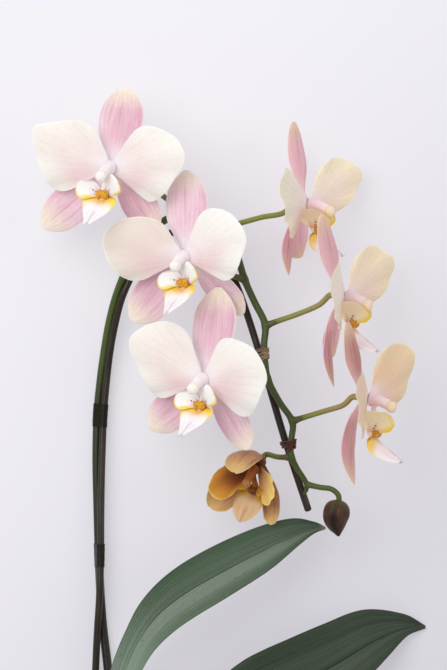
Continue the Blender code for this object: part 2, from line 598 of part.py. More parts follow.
def wrap(rods, way, angle, clearance):
    """A point round both rods, in the plane square to them, with a clearance from each."""
    first, second = rods
    side = unit(second[:3] - first[:3] - way * way.dot(second[:3] - first[:3]))
    direction = np.cos(angle) * side + np.sin(angle) * np.cross(way, side)
    rod = first if np.cos(angle) < 0 else second
    return rod[:3] + (rod[3] + clearance) * direction


def band(name, place, right, length, wall):
    """A flat ring that holds the spike and the stake together."""
    way, cut = rods_at(place, right)
    angles = np.linspace(0, 2 * np.pi, BAND_SIDES, endpoint=False) + np.pi / BAND_SIDES
    loops = []
    for end, clearance in ((-1, BAND_CLEARANCE), (-1, BAND_CLEARANCE + wall),
                           (1, BAND_CLEARANCE + wall), (1, BAND_CLEARANCE)):
        rods = cut(end * length / 2)
        loops.append([wrap(rods, way, angle, clearance) for angle in angles])
    faces = []
    for k in range(4):
        for i in range(BAND_SIDES):
            j = (i + 1) % BAND_SIDES
            a, b = k * BAND_SIDES, (k + 1) % 4 * BAND_SIDES
            faces.append((a + i, a + j, b + j, b + i))
    return solid(name, np.vstack(loops), faces)


def wound_tie():
    """A wire wound round the spike and the stake, with short ends."""
    way, cut = rods_at(WOUND_PLACE, True)
    path = []
    for turn in np.linspace(0, WOUND_TURNS, int(WOUND_TURNS * 11)):
        station = (turn - WOUND_TURNS / 2) * WOUND_PITCH
        path.append(wrap(cut(station), way, turn * 2 * np.pi, WOUND_CLEARANCE + WOUND_RADIUS))
    return tube("tie_wound", path, WOUND_RADIUS, 5)


def crown():
    """The short leafy base, cut above the roots."""
    rings = rings_along(spline(CROWN_PATH, 7), profile(
        [(k / 3, r) for k, r in enumerate(CROWN_RADII)], np.linspace(0, 1, 7)), CROWN_SIDES)
    faces = [list(range(CROWN_SIDES)), [6 * CROWN_SIDES + k for k in range(CROWN_SIDES)]]
    for i in range(6):
        for k in range(CROWN_SIDES):
            a, b = i * CROWN_SIDES + k, i * CROWN_SIDES + (k + 1) % CROWN_SIDES
            faces.append((a, b, b + CROWN_SIDES, a + CROWN_SIDES))
    return solid("crown", np.vstack(rings), faces)


def leaf(name, spec, rows=17, cols=6):
    """A strap leaf with a channel along its midrib, thicker there than at its edges."""
    middle = spline(spec["midrib"], rows + 1)
    tangent = unit(np.gradient(middle, axis=0))
    across = unit(np.cross(tangent, (0, 0, 1.0)))
    out = np.cross(across, tangent)
    t = np.linspace(0, 1, rows + 1)
    v = np.linspace(-1, 1, cols + 1)
    upper, lower = (profile(spec[side], t)[:, None] for side in ("upper", "lower"))
    half = np.where(v < 0, upper, lower)
    lift = spec["channel"] * half / half.max() * np.abs(v) ** 1.3
    grid = middle[:, None] + (half * v)[..., None] * across[:, None] + lift[..., None] * out[:, None]
    thickness = LEAF_THICKNESS + (LEAF_EDGE_THICKNESS - LEAF_THICKNESS) * np.abs(v)
    return blade(name, grid, thickness)


def bud():
    """A plump closed bud."""
    tip, centre = np.array(BUD_TIP), np.array(BUD_CENTRE)
    start = np.array(BUD_PEDICEL[-1])
    start = start + unit(centre - start) * (GAP + 0.2)
    path = spline([start, centre, tip], 9)
    share = np.linspace(0, 1, 9)
    radii = BUD_RADIUS * profile([(0, 0.18), (0.12, 0.62), (0.3, 0.95), (0.45, 1.0), (0.65, 0.86),
                                  (0.82, 0.55), (0.94, 0.25), (1, 0.1)], share)
    return tube("bud", path, radii, 10)


def set_on_the_ground():
    """Moves everything so that the middle of the box's base is at the origin."""
    bpy.context.view_layer.update()
    corners = [obj.matrix_world @ vert.co for obj in bpy.data.objects if obj.type == "MESH"
               for vert in obj.data.vertices]
    low = Vector(map(min, zip(*corners)))
    high = Vector(map(max, zip(*corners)))
    shift = Vector((-(low.x + high.x) / 2, -(low.y + high.y) / 2, -low.z))
    for obj in bpy.data.objects:
        if obj.parent is None:
            obj.location += shift


def main():
    for obj in list(bpy.data.objects):
        bpy.data.objects.remove(obj)
    finish(flower_stem(), (0.13, 0.22, 0.05), 0.4)
    finish(stake(), (0.035, 0.025, 0.02), 0.3)
    for name, place in BAND_PLACES.items():
        finish(band(name, place, False, BAND_LENGTH, BAND_WALL), (0.03, 0.022, 0.015), 0.35)
    finish(band("tie_raffia", RAFFIA_PLACE, True, RAFFIA_LENGTH, RAFFIA_WALL), (0.4, 0.3, 0.2), 0.7)
    finish(wound_tie(), (0.08, 0.025, 0.025), 0.5)
    finish(crown(), (0.12, 0.18, 0.06), 0.5)
    for name, spec in LEAVES.items():
        finish(leaf(name, spec), (0.07, 0.14, 0.06), 0.35)
    for number, (name, flower) in enumerate(OPEN_BLOOMS.items()):
        backlit = number > 2
        open_bloom(name, flower, (0.86, 0.66, 0.5) if backlit else (0.88, 0.8, 0.76),
                   (0.66, 0.3, 0.32) if backlit else (0.75, 0.5, 0.56))
    opening_bloom()
    finish(bud(), (0.12, 0.06, 0.045), 0.5)
    set_on_the_ground()


main()
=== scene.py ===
import bmesh
import bpy
import numpy as np
from mathutils import Euler, Matrix, Vector


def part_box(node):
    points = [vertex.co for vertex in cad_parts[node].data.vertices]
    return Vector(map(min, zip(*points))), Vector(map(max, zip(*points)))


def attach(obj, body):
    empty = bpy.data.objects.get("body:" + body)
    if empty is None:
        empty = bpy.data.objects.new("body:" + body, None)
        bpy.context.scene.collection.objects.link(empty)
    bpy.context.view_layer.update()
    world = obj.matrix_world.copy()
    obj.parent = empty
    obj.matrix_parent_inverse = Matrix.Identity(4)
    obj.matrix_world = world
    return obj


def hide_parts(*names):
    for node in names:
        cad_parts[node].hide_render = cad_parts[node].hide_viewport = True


# Moth orchid stem, laid down on a pale table and seen from straight above.
# Shapes are worked out in millimetres, in the same layout as the solids, and become metres last.

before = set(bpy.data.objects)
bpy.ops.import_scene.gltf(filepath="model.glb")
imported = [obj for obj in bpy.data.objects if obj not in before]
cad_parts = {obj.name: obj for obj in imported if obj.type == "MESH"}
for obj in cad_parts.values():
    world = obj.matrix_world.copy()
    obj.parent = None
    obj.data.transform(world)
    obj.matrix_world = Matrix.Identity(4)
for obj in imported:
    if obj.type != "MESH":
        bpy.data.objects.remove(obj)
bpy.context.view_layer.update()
print("frame loaded")

picture = {
    "pixels": (447, 670),
    "millimetresPerPixel": 0.55,
    "middle": (-3.575, 52.25, 48.0),  # what the camera looks at
    "distance": 6.0,                  # metres above it
    "sensor": 36.0, "clip": (0.5, 60.0),
}
metre = 0.001  # metres in a millimetre
mergeDistance = 0.002  # millimetres
sharpAngle = 62  # degrees, past which an edge isn't shaded smooth
stepsPerSpan, stepsPerRule = 12, 160  # how finely curves and rules are worked out
eggGrid = (14, 28)  # rings and segments of an egg


# Numbers and meshes

def splineThrough(points, count):
    # points at even steps along a smooth curve through the given ones
    p = np.array(points, float)
    p = np.vstack([2 * p[0] - p[1], p, 2 * p[-1] - p[-2]])
    t = np.linspace(0, 1, stepsPerSpan, endpoint=False)[:, None]
    dense = [0.5 * (2 * b + (c - a) * t + (2 * a - 5 * b + 4 * c - d) * t**2
                    + (3 * b - a - 3 * c + d) * t**3)
             for a, b, c, d in zip(p[:-3], p[1:-2], p[2:-1], p[3:])]
    dense = np.vstack(dense + [p[-2:-1]])
    run = np.concatenate([[0], np.cumsum(np.linalg.norm(np.diff(dense, axis=0), axis=1))])
    steps = np.linspace(0, run[-1], count)
    return np.stack([np.interp(steps, run, dense[:, k]) for k in range(p.shape[1])], 1)


def smoothValue(knots, t):
    # a value that passes smoothly through (position, value) knots
    curve = splineThrough(knots, stepsPerRule)
    return np.interp(t, curve[:, 0], curve[:, 1])


def unit(v):
    return v / np.linalg.norm(v, axis=-1, keepdims=True)


def ringsAlong(path, radii, sides):
    # rings of points square to a path, with no twist between them
    path = np.array(path, float)
    tangent = unit(np.gradient(path, axis=0))
    side = unit(np.cross(tangent[0], (0.3, 0.2, 1.0)))
    angle = np.linspace(0, 2 * np.pi, sides, endpoint=False)[:, None]
    rings = []
    for centre, forward, radius in zip(path, tangent, np.broadcast_to(radii, len(path))):
        side = unit(side - forward * side.dot(forward))
        up = np.cross(forward, side)
        rings.append(centre + radius * (np.cos(angle) * side + np.sin(angle) * up))
    return np.array(rings)


def storeOn(mesh, **values):
    # numbers kept on the points, which the materials read
    for label, value in values.items():
        data = np.broadcast_to(np.ravel(value), len(mesh.vertices)).astype(np.float32)
        mesh.attributes.new(label, "FLOAT", "POINT").data.foreach_set("value", data)


def meshFrom(name, points, faces, look, **values):
    mesh = bpy.data.meshes.new(name)
    mesh.from_pydata([tuple(p) for p in points], [], faces)
    storeOn(mesh, **values)
    mesh.materials.append(look)
    tidyMesh(mesh)
    return mesh


def tidyMesh(mesh):
    bm = bmesh.new()
    bm.from_mesh(mesh)
    bmesh.ops.remove_doubles(bm, verts=bm.verts, dist=mergeDistance)
    bmesh.ops.dissolve_degenerate(bm, edges=bm.edges, dist=mergeDistance / 4)
    bmesh.ops.recalc_face_normals(bm, faces=bm.faces)
    bm.to_mesh(mesh)
    bm.free()


def crossed(first, second):
    # two rows of numbers, laid out over a grid
    return np.meshgrid(first, second, indexing="ij")


def roundTurn(count):
    return np.linspace(0, 2 * np.pi, count, endpoint=False)


def gridFaces(rows, cols, offset=0, closed=False, flip=False):
    faces = []
    for i in range(rows - 1):
        for j in range(cols if closed else cols - 1):
            k = (j + 1) % cols
            face = (i * cols + j, (i + 1) * cols + j, (i + 1) * cols + k, i * cols + k)
            faces.append(tuple(offset + f for f in (face[::-1] if flip else face)))
    return faces


bladeEdge = {"sides": 6.0, "ends": 14.0}  # how late a blade gets thin towards its sides and ends


def bladeMesh(name, middle, thickness, look, tone=0.0):
    # a thin closed blade round a grid of points, drawn out to nothing at its edges
    rows, cols = middle.shape[:2]
    along, across = crossed(np.linspace(0, 1, rows), np.linspace(-1, 1, cols))
    taper = (1 - np.abs(across)**bladeEdge["sides"]) * (1 - np.abs(2 * along - 1)**bladeEdge["ends"])
    normal = unit(np.cross(np.gradient(middle, axis=0), np.gradient(middle, axis=1)))
    offset = normal * (thickness * np.sqrt(np.clip(taper, 0, 1)) / 2)[..., None]
    points = np.concatenate([(middle + offset).reshape(-1, 3), (middle - offset).reshape(-1, 3)])
    faces = gridFaces(rows, cols) + gridFaces(rows, cols, rows * cols, flip=True)
    return meshFrom(name, points, faces, look, along=np.tile(along.ravel(), 2),
                    across=np.tile(across.ravel(), 2), tone=tone)


def ringMesh(name, rings, look):
    # a closed skin over rings of points
    count, sides = rings.shape[:2]
    ends = [tuple(range(sides)), tuple((count - 1) * sides + k for k in range(sides))]
    along, around = crossed(np.linspace(0, 1, count), roundTurn(sides) / (2 * np.pi))
    return meshFrom(name, rings.reshape(-1, 3), gridFaces(count, sides, closed=True) + ends, look,
                    along=along, around=around, tone=0.0)


def eggMesh(name, centre, radii, look):
    rings, segments = eggGrid
    theta, phi = crossed(np.linspace(0, np.pi, rings + 1), roundTurn(segments))
    points = np.stack([np.sin(theta) * np.cos(phi), np.sin(theta) * np.sin(phi), np.cos(theta)], -1)
    return meshFrom(name, (points * radii + centre).reshape(-1, 3),
                    gridFaces(rings + 1, segments, closed=True), look,
                    along=0.0, across=0.0, around=0.0, tone=0.0)


def joined(name, meshes):
    # one mesh out of several, with their materials and stored numbers kept
    objects = [bpy.data.objects.new(name, mesh) for mesh in meshes]
    for obj in objects:
        bpy.context.collection.objects.link(obj)
    if len(objects) > 1:
        with bpy.context.temp_override(active_object=objects[0], object=objects[0],
                                       selected_objects=objects, selected_editable_objects=objects):
            bpy.ops.object.join()
    mesh = objects[0].data
    bpy.data.objects.remove(objects[0])
    return mesh


def settle(name, meshes, node, place=Matrix.Identity(4)):
    # joins the meshes, puts them where the solid is and lets the piece stand for it
    mesh = joined(name, meshes)
    mesh.transform(Matrix.Scale(metre, 4) @ toRow @ place)
    mesh.shade_smooth()
    mesh.set_sharp_from_angle(angle=np.radians(sharpAngle))
    mesh.name = name
    piece = bpy.data.objects.new(name, mesh)
    bpy.context.collection.objects.link(piece)
    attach(piece, "root")
    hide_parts(node)


# Formulas in node trees, for shapes and for materials

def makeNode(tree, kind, inputs=None, **settings):
    node = tree.nodes.new(kind)
    for key, value in settings.items():
        setattr(node, key, value)
    for key, value in (inputs or {}).items():
        if isinstance(value, Field):
            tree.links.new(value.socket, node.inputs[key])
        else:
            node.inputs[key].default_value = value
    return node


def made(tree, kind, inputs=None, output=0, **settings):
    # a node's output, ready for a formula
    return Field(tree, makeNode(tree, kind, inputs, **settings).outputs[output])


def rule(operation, swapped=False):
    def apply(field, *others):
        values = (*others, field) if swapped else (field, *others)
        return made(field.tree, "ShaderNodeMath", dict(enumerate(values)), operation=operation)
    return apply


class Field:
    # a value on its way through a node tree, so that a rule reads as a formula
    def __init__(self, tree, socket):
        self.tree, self.socket = tree, socket

    __add__ = __radd__ = rule("ADD")
    __mul__ = rule("MULTIPLY")
    __sub__, __rsub__ = rule("SUBTRACT"), rule("SUBTRACT", swapped=True)
    __truediv__, __pow__, __abs__ = rule("DIVIDE"), rule("POWER"), rule("ABSOLUTE")
    sin, cos, exp, fraction = rule("SINE"), rule("COSINE"), rule("EXPONENT"), rule("FRACT")
    atLeast, atMost = rule("MAXIMUM"), rule("MINIMUM")

    def hump(self, centre, width):
        # 1 at the centre, falling off smoothly to both sides
        offset = (self - centre) / width
        return (offset * offset * -1).exp()

    def between(self, low, high):
        # 0 below low, 1 above high, smooth between them
        return made(self.tree, "ShaderNodeMapRange", {0: self, 1: low, 2: high},
                    interpolation_type="SMOOTHSTEP")


def vector(tree, x, y, z):
    return made(tree, "ShaderNodeCombineXYZ", {0: x, 1: y, 2: z})


def openTree(name, inputs, kind="GeometryNodeTree", output="Geometry"):
    # a tree with named inputs; the type of a default value is the type of its socket
    tree = bpy.data.node_groups.new(name, kind)
    sockets = {int: "NodeSocketInt", float: "NodeSocketFloat", str: "NodeSocketGeometry",
               type(None): "NodeSocketMaterial"}
    for label, value in inputs.items():
        socket = tree.interface.new_socket(name=label, in_out="INPUT",
                                           socket_type=sockets[type(value)])
        if isinstance(value, (int, float)):
            socket.default_value = value
    tree.interface.new_socket(name=output, in_out="OUTPUT",
                              socket_type=sockets[str if output == "Geometry" else float])
    source = tree.nodes.new("NodeGroupInput")
    return tree, {label: Field(tree, source.outputs[label]) for label in inputs}


def closeTree(tree, result):
    sink = tree.nodes.new("NodeGroupOutput")
    tree.links.new(result.socket, sink.inputs[0])
    return tree


def closeShape(tree, geometry, material):
    # every shape tree ends in real geometry with its material on
    real = made(tree, "GeometryNodeRealizeInstances", {"Geometry": geometry})
    return closeTree(tree, made(tree, "GeometryNodeSetMaterial", {"Geometry": real, "Material": material}))


def stored(tree, geometry, **values):
    for label, value in values.items():
        geometry = made(tree, "GeometryNodeStoreNamedAttribute",
                        {"Geometry": geometry, "Name": label, "Value": value},
                        data_type="FLOAT", domain="POINT")
    return geometry


def recalled(tree, label):
    return made(tree, "GeometryNodeInputNamedAttribute", {"Name": label}, "Attribute",
                data_type="FLOAT")


def together(tree, *geometries):
    both = tree.nodes.new("GeometryNodeJoinGeometry")
    for geometry in geometries:
        tree.links.new(geometry.socket, both.inputs[0])
    return Field(tree, both.outputs[0])


def curveOf(tree, knots, value):
    # a rule given by points, as a curve that can be edited in the tree
    node = makeNode(tree, "ShaderNodeFloatCurve", {"Value": value})
    peak = max(y for x, y in knots)
    knots = [(x, y / peak) for x, y in knots]
    points = node.mapping.curves[0].points
    points[0].location, points[1].location = knots[0], knots[-1]
    for x, y in knots[1:-1]:
        points.new(x, y)
    node.mapping.update()
    return Field(tree, node.outputs[0]) * peak


def gridPlace(tree, given):
    # a flat grid, and its two coordinates: across from -1 to 1 and along from 0 to 1
    grid = made(tree, "GeometryNodeMeshGrid", {"Size X": 2.0, "Size Y": 1.0, "Vertices X": given["Columns"],
                                               "Vertices Y": given["Rows"]})
    split = makeNode(tree, "ShaderNodeSeparateXYZ", {0: made(tree, "GeometryNodeInputPosition")})
    return grid, Field(tree, split.outputs[0]), Field(tree, split.outputs[1]) + 0.5


def bentBy(distance, length, turn):
    # how far out and how far forward a blade gets when it curls evenly
    angle = distance / length * turn
    return length * angle.sin() / turn, length * (1 - angle.cos()) / turn


def bladeFrom(tree, given, grid, x, y, z):
    # both faces of a blade round the moved grid, met at its edges
    middle = made(tree, "GeometryNodeSetPosition", {"Geometry": grid, "Position": vector(tree, x, y, z)})
    across, along = recalled(tree, "across"), recalled(tree, "along")
    taper = (1 - abs(across) ** bladeEdge["sides"]) * (1 - abs(along * 2 - 1) ** bladeEdge["ends"])
    height = taper.atLeast(0.0) ** 0.5 * given["Thickness"] / 2
    normal = made(tree, "GeometryNodeInputNormal")
    offsets = [made(tree, "ShaderNodeVectorMath", {0: normal, "Scale": height * sign}, operation="SCALE")
               for sign in (1, -1)]
    near, far = (made(tree, "GeometryNodeSetPosition", {"Geometry": middle, "Offset": offset})
                 for offset in offsets)
    both = together(tree, near, made(tree, "GeometryNodeFlipFaces", {0: far}))
    shut = made(tree, "GeometryNodeMergeByDistance", {"Geometry": both, "Distance": mergeDistance})
    return closeShape(tree, shut, given["Material"])


def grown(tree, geometry=None, **values):
    # sets a tree's inputs by their identifiers, evaluates it and keeps the mesh
    host = bpy.data.objects.new(tree.name, geometry or bpy.data.meshes.new(tree.name))
    bpy.context.collection.objects.link(host)
    modifier = host.modifiers.new("shape", "NODES")
    modifier.node_group = tree
    for item in tree.interface.items_tree:
        if item.in_out == "INPUT" and item.name in values:
            modifier[item.identifier] = values[item.name]
    view = bpy.context.evaluated_depsgraph_get()
    mesh = bpy.data.meshes.new_from_object(host.evaluated_get(view))
    host.modifiers.remove(modifier)
    bpy.data.objects.remove(host)
    tidyMesh(mesh)
    return mesh


# Where the solids stand

crownShape = {
    "path": [(-69.5, -190.5, 8.2), (-68.6, -184.0, 8.4), (-67.4, -177.5, 8.6), (-66.6, -173.0, 8.8)],
    "radii": [6.9, 7.7, 7.3, 6.2],
    "solidRings": (7, 12),  # rings and sides of the plain solid
    "rings": (34, 72),
    # leaf bases: how far round each next one starts, the slant and rise of its edge, and its inset
    "sheaths": 5, "sheathTurn": 2.4, "sheathSlant": 1.4, "sheathRise": 2.2, "sheathDrop": 1.2,
    "sheathInset": 0.1, "core": 0.9, "ribs": 24, "ribHeight": 0.02,
}


def crownRings(count, sides):
    radii = smoothValue([(k / 3, r) for k, r in enumerate(crownShape["radii"])],
                        np.linspace(0, 1, count))
    return ringsAlong(splineThrough(crownShape["path"], count), radii, sides)


# the solids were moved so that they rest on the ground, and the crown tells by how much
crownLow = crownRings(*crownShape["solidRings"]).reshape(-1, 3).min(0)
toRow = Matrix.Translation(Vector(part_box("crown")[0]) / metre - Vector(crownLow))
print("layout shift in mm:", [round(v, 3) for v in toRow.translation])


# Colours and shared effects

def ink(red, green, blue):
    # a colour as it looks on screen, turned into the light it stands for
    return (*(((c / 255 + 0.055) / 1.055) ** 2.4 if c > 10 else c / 3294 for c in (red, green, blue)), 1)


def objectPlace(tree):
    return made(tree, "ShaderNodeMapping", {"Vector": made(tree, "ShaderNodeTexCoord", output="Object")})


def noise(tree, place, scale, detail=2.0, roughness=0.5):
    return made(tree, "ShaderNodeTexNoise", {"Vector": place, "Scale": scale, "Detail": detail,
                                             "Roughness": roughness})


def cellsIn(tree, place, scale):
    return made(tree, "ShaderNodeTexVoronoi", {"Vector": place, "Scale": scale}, "Distance")


def effect(name, inputs, output, build):
    # a shader group with named inputs, shared by the materials
    tree, given = openTree(name, inputs, "ShaderNodeTree", output)
    return closeTree(tree, build(tree, *given.values()))


def buildPatches(tree, scale):
    return noise(tree, objectPlace(tree), scale, 3.0).between(0.32, 0.68)


def buildGrain(tree, scale):
    place = objectPlace(tree)
    return cellsIn(tree, place, scale) * 0.7 + noise(tree, place, scale * 0.4) * 0.5


def buildVeins(tree, along, across, count, wander):
    # lines that spread from the root, with finer ones between them further out
    spread = across + (noise(tree, objectPlace(tree), 70.0) - 0.5) * wander
    main = 1 - abs((spread * count * (np.pi / 2)).sin())
    fine = 1 - abs((spread * count * np.pi + 0.8).sin())
    lines = main ** 5.0 + fine ** 7.0 * along.between(0.3, 0.65) * 0.6
    broken = noise(tree, objectPlace(tree), 260.0).between(0.25, 0.6) * 0.5 + 0.5
    return (lines * broken * (1 - along.between(0.86, 1.0))).atMost(1.0)


def buildStreaks(tree, along, across, count, length):
    # fibres that run along a rod, a leaf or a strand
    return noise(tree, vector(tree, across * count, along * length, 0.0), 1.0, 3.0, 0.6).between(0.25, 0.75)


def buildSpeckles(tree, scale, size):
    # scattered round spots of uneven size
    place = objectPlace(tree)
    uneven = cellsIn(tree, place, scale) + (noise(tree, place, scale * 1.7) - 0.5) * 0.25
    return 1 - uneven.between(size * 0.75, size)


patches = effect("softPatches", {"Scale": 60.0}, "Mask", buildPatches)
grain = effect("cellGrain", {"Scale": 1800.0}, "Height", buildGrain)
veins = effect("bladeVeins", {"Along": 0.0, "Across": 0.0, "Count": 9.0, "Wander": 0.1}, "Mask",
               buildVeins)
streaks = effect("lengthStreaks", {"Along": 0.0, "Across": 0.0, "Count": 20.0, "Length": 4.0}, "Mask",
                 buildStreaks)
speckles = effect("roundSpeckles", {"Scale": 900.0, "Size": 0.3}, "Mask", buildSpeckles)


class Brush:
    # paints one finish: masks come from numbers on the mesh and shared effects, colours from a palette
    def __init__(self, tree, palette):
        self.tree, self.palette = tree, palette

    def numbers(self, *labels):
        return [made(self.tree, "ShaderNodeAttribute", output="Fac", attribute_name=label)
                for label in labels]

    def use(self, group, *values):
        return made(self.tree, "ShaderNodeGroup", dict(enumerate(values)), node_tree=group)

    def mix(self, mask, *colours):
        # the first colour, or the second where the mask is 1
        first, second = (ink(*self.palette[c]) if isinstance(c, str) else c for c in colours)
        return made(self.tree, "ShaderNodeMix", {0: mask, 6: first, 7: second}, 2, data_type="RGBA",
                    clamp_factor=True)

    def start(self, mask, first, second):
        self.colour = self.mix(mask, first, second)

    def over(self, mask, colour):
        self.colour = self.mix(mask, self.colour, colour)


socketNames = {
    "softWeight": "Subsurface Weight", "softRadius": "Subsurface Radius",
    "softScale": "Subsurface Scale", "sheen": "Sheen Weight", "sheenRoughness": "Sheen Roughness",
    "coat": "Coat Weight", "coatRoughness": "Coat Roughness", "specular": "Specular IOR Level",
    "glow": "Emission Strength",
}
looks = {}


def finish(name, paint, palette, **constants):
    # a material whose colour, roughness and relief are worked out by paint
    material = looks[name] = bpy.data.materials.new(name)
    material.use_nodes = True
    tree = material.node_tree
    brush, shader = Brush(tree, palette), tree.nodes["Principled BSDF"]
    for label, value in constants.items():
        shader.inputs[socketNames[label]].default_value = value
    roughness, height, depth = paint(brush)
    relief = made(tree, "ShaderNodeBump", {"Height": height, "Distance": depth * metre, "Strength": 1.0})
    for label, value in (("Base Color", brush.colour), ("Roughness", roughness), ("Normal", relief)):
        tree.links.new(value.socket, shader.inputs[label])
    if "glow" in constants:
        tree.links.new(brush.colour.socket, shader.inputs["Emission Color"])


# Petal, sepal, lip and column finishes

petalColours = {
    "palePetal": {
        "root": (248, 242, 244), "middle": (250, 240, 235), "deep": (232, 216, 208),
        "outer": (253, 250, 244), "outerDeep": (230, 220, 206), "blushAndShade": (234, 204, 208),
        "vein": (228, 204, 204), "rim": (253, 250, 244), "insideColourAndShade": 0.0,
    },
    # the warm petals' pale colours are partly painted light, kept light to stand for light shining through
    # the thin petals
    "warmPetal": {
        "root": (252, 240, 244), "middle": (255, 242, 230), "deep": (240, 202, 164),
        "outer": (250, 240, 214), "outerDeep": (236, 212, 176), "blushAndShade": (250, 220, 216),
        "vein": (220, 184, 166), "rim": (254, 238, 196), "insideColourAndShade": 0.0,
    },
    "goldPetal": {
        "root": (88, 30, 1), "middle": (180, 104, 28), "deep": (224, 182, 112),
        "outer": (232, 176, 66), "outerDeep": (240, 206, 110), "blushAndShade": (186, 110, 50),
        "vein": (160, 88, 36), "rim": (252, 222, 120), "insideColourAndShade": 0.9,
    },
}
sepalColours = {
    "pinkSepal": {
        "root": (246, 238, 242), "middle": (238, 202, 217), "deep": (212, 158, 176),
        "side": (222, 166, 194), "tip": (248, 236, 216), "vein": (202, 144, 166),
        "creaseShade": (206, 164, 156), "rim": (250, 234, 232), "light": (246, 228, 232),
    },
    "warmSepal": {
        "root": (246, 218, 226), "middle": (240, 188, 200), "deep": (180, 114, 94),
        "side": (214, 146, 180), "tip": (236, 206, 176), "vein": (200, 134, 146),
        "creaseShade": (172, 110, 120), "rim": (255, 240, 222), "light": (246, 206, 210),
    },
    "goldSepal": {
        "root": (140, 84, 54), "middle": (166, 112, 70), "deep": (206, 150, 104),
        "side": (124, 74, 46), "tip": (220, 188, 122), "vein": (124, 72, 48),
        "creaseShade": (104, 62, 40), "rim": (236, 202, 130), "light": (222, 182, 142),
    },
}
lipColours = {
    "lip": {
        "lobe": (250, 246, 242), "lobeEdge": (246, 212, 60), "stripe": (116, 24, 40),
        "throat": (224, 164, 190), "shoulder": (246, 210, 56), "heart": (238, 156, 66),
        "tongue": (250, 246, 248), "keel": (206, 180, 202), "callus": (240, 158, 30),
        "spot": (150, 44, 24), "rootEdge": (176, 104, 30),
    },
    "warmLip": {
        "lobe": (255, 234, 200), "lobeEdge": (250, 212, 44), "stripe": (130, 50, 34),
        "throat": (232, 178, 150), "shoulder": (238, 198, 90), "heart": (222, 160, 96),
        "tongue": (240, 228, 230), "keel": (190, 150, 172), "callus": (228, 150, 40),
        "spot": (140, 60, 30), "rootEdge": (150, 84, 24),
    },
    "goldLip": {
        "lobe": (196, 138, 30), "lobeEdge": (222, 172, 50), "stripe": (110, 40, 16),
        "throat": (116, 48, 10), "shoulder": (184, 134, 14), "heart": (166, 96, 30),
        "tongue": (214, 182, 140), "keel": (176, 112, 70), "callus": (124, 54, 14),
        "spot": (76, 26, 8), "rootEdge": (118, 70, 10),
    },
}
columnColours = {
    "column": {"base": (252, 246, 248), "cap": (252, 246, 238), "tint": (238, 212, 224),
               "dot": (214, 176, 124)},
    "warmColumn": {"base": (252, 230, 232), "cap": (246, 226, 196), "tint": (240, 204, 214),
                   "dot": (214, 166, 60)},
    "goldColumn": {"base": (170, 100, 36), "cap": (190, 130, 74), "tint": (124, 58, 18),
                   "dot": (120, 66, 34)},
}
petalFlesh = {"softWeight": 0.35, "softRadius": (1.0, 0.62, 0.5), "softScale": 1.6 * metre,
              "sheen": 0.12, "sheenRoughness": 0.5, "specular": 0.3}
callusFlesh = {"softWeight": 0.3, "softRadius": (1.0, 0.5, 0.2), "softScale": 1.2 * metre}


def petalPaint(brush):
    along, across, tone = brush.numbers("along", "across", "tone")
    spread, mottled = brush.use(patches, 55.0), brush.use(patches, 420.0)
    brush.start(along.between(0.02, 0.4), "root", brush.mix(tone, "middle", "deep"))
    # blush: real pink, and over one half of each petal also painted shade of its cupped form
    brush.over(along.hump(0.42, 0.34) * (1 - across.between(-0.7, 0.3)) * 0.7
               + spread * along.hump(0.35, 0.3) * 0.3, "blushAndShade")
    brush.over(along.between(0.5, 1.0) * 0.85, brush.mix(tone, "outer", "outerDeep"))
    # an opening petal is darker inside, near its root: partly its own colour, partly painted shade inside its
    # cup
    brush.over((1 - along.between(0.3, 0.8)) * (1 - tone) * brush.palette["insideColourAndShade"], "root")
    lines = brush.use(veins, along, across, 13.0, 0.12)
    brush.over(lines * (0.16 + spread * 0.16), "vein")
    brush.over(mottled * 0.08, "vein")
    brush.over(along.atLeast(abs(across) * 0.99).between(0.965, 0.998) * 0.8, "rim")
    cells = brush.use(grain, 1900.0)
    return 0.5 + cells * 0.12, lines * -0.6 + cells * 0.35 + mottled * 0.3 + spread * 0.4, 0.14


def sepalPaint(brush):
    along, across, tone = brush.numbers("along", "across", "tone")
    spread, mottled = brush.use(patches, 70.0), brush.use(patches, 420.0)
    brush.start(tone, "middle", "deep")
    # painted shade and painted light: one half of each sepal darker, the other lighter, as light falls on the
    # two sides of its keel
    brush.over(across.between(0.35, 1.0) * 0.6, "side")
    brush.over((1 - across.between(-0.9, -0.1)) * along.hump(0.4, 0.3) * 0.5, "light")
    fibres = brush.use(streaks, along, across, 9.0, 2.5)
    brush.over(fibres * 0.4, "light")
    lines = brush.use(veins, along, across, 9.0, 0.16)
    brush.over(lines * (0.2 + spread * 0.26), "vein")
    # painted shade: a darker line down the groove in the middle of the sepal
    brush.over(across.hump(0.0, 0.05) * along.between(0.3, 0.7) * 0.5, "creaseShade")
    brush.over((along + fibres * 0.1).between(0.7, 1.0) * 0.85, "tip")
    brush.over((1 - along.between(0.04, 0.4)) * 0.9, "root")
    brush.over(mottled * 0.1, "vein")
    brush.over(abs(across).between(0.92, 0.99) * 0.7, "rim")
    cells = brush.use(grain, 1700.0)
    return 0.48 + cells * 0.14, lines * -0.9 + cells * 0.35 + spread * 0.5, 0.16


def lobePaint(brush):
    along, across = brush.numbers("along", "across")
    spread = brush.use(patches, 160.0)
    brush.start((1 - along.between(0.1, 0.42)) * 0.8, "lobe", "throat")
    # rows of dark dots run out from the throat
    rows = (across * 11.0 + spread * 0.8).sin().between(0.3, 0.8) * across.hump(0.1, 0.5)
    dots = (along * 56.0 + across * 4.0).sin().between(-0.5, 0.3)
    reach = along.between(0.08, 0.16) * (1 - along.between(0.34, 0.52))
    brush.over(rows * dots * reach * 0.9, "stripe")
    rim = across.between(0.55, 0.92) * along.between(0.25, 0.55)
    rim = rim + along.between(0.9, 1.0) * across.between(-0.1, 0.5)
    brush.over(rim.atMost(0.95), "lobeEdge")
    lines = brush.use(veins, along, across, 5.0, 0.2)
    return 0.4 + lines * 0.1, lines * -0.5 + spread * 0.4, 0.12


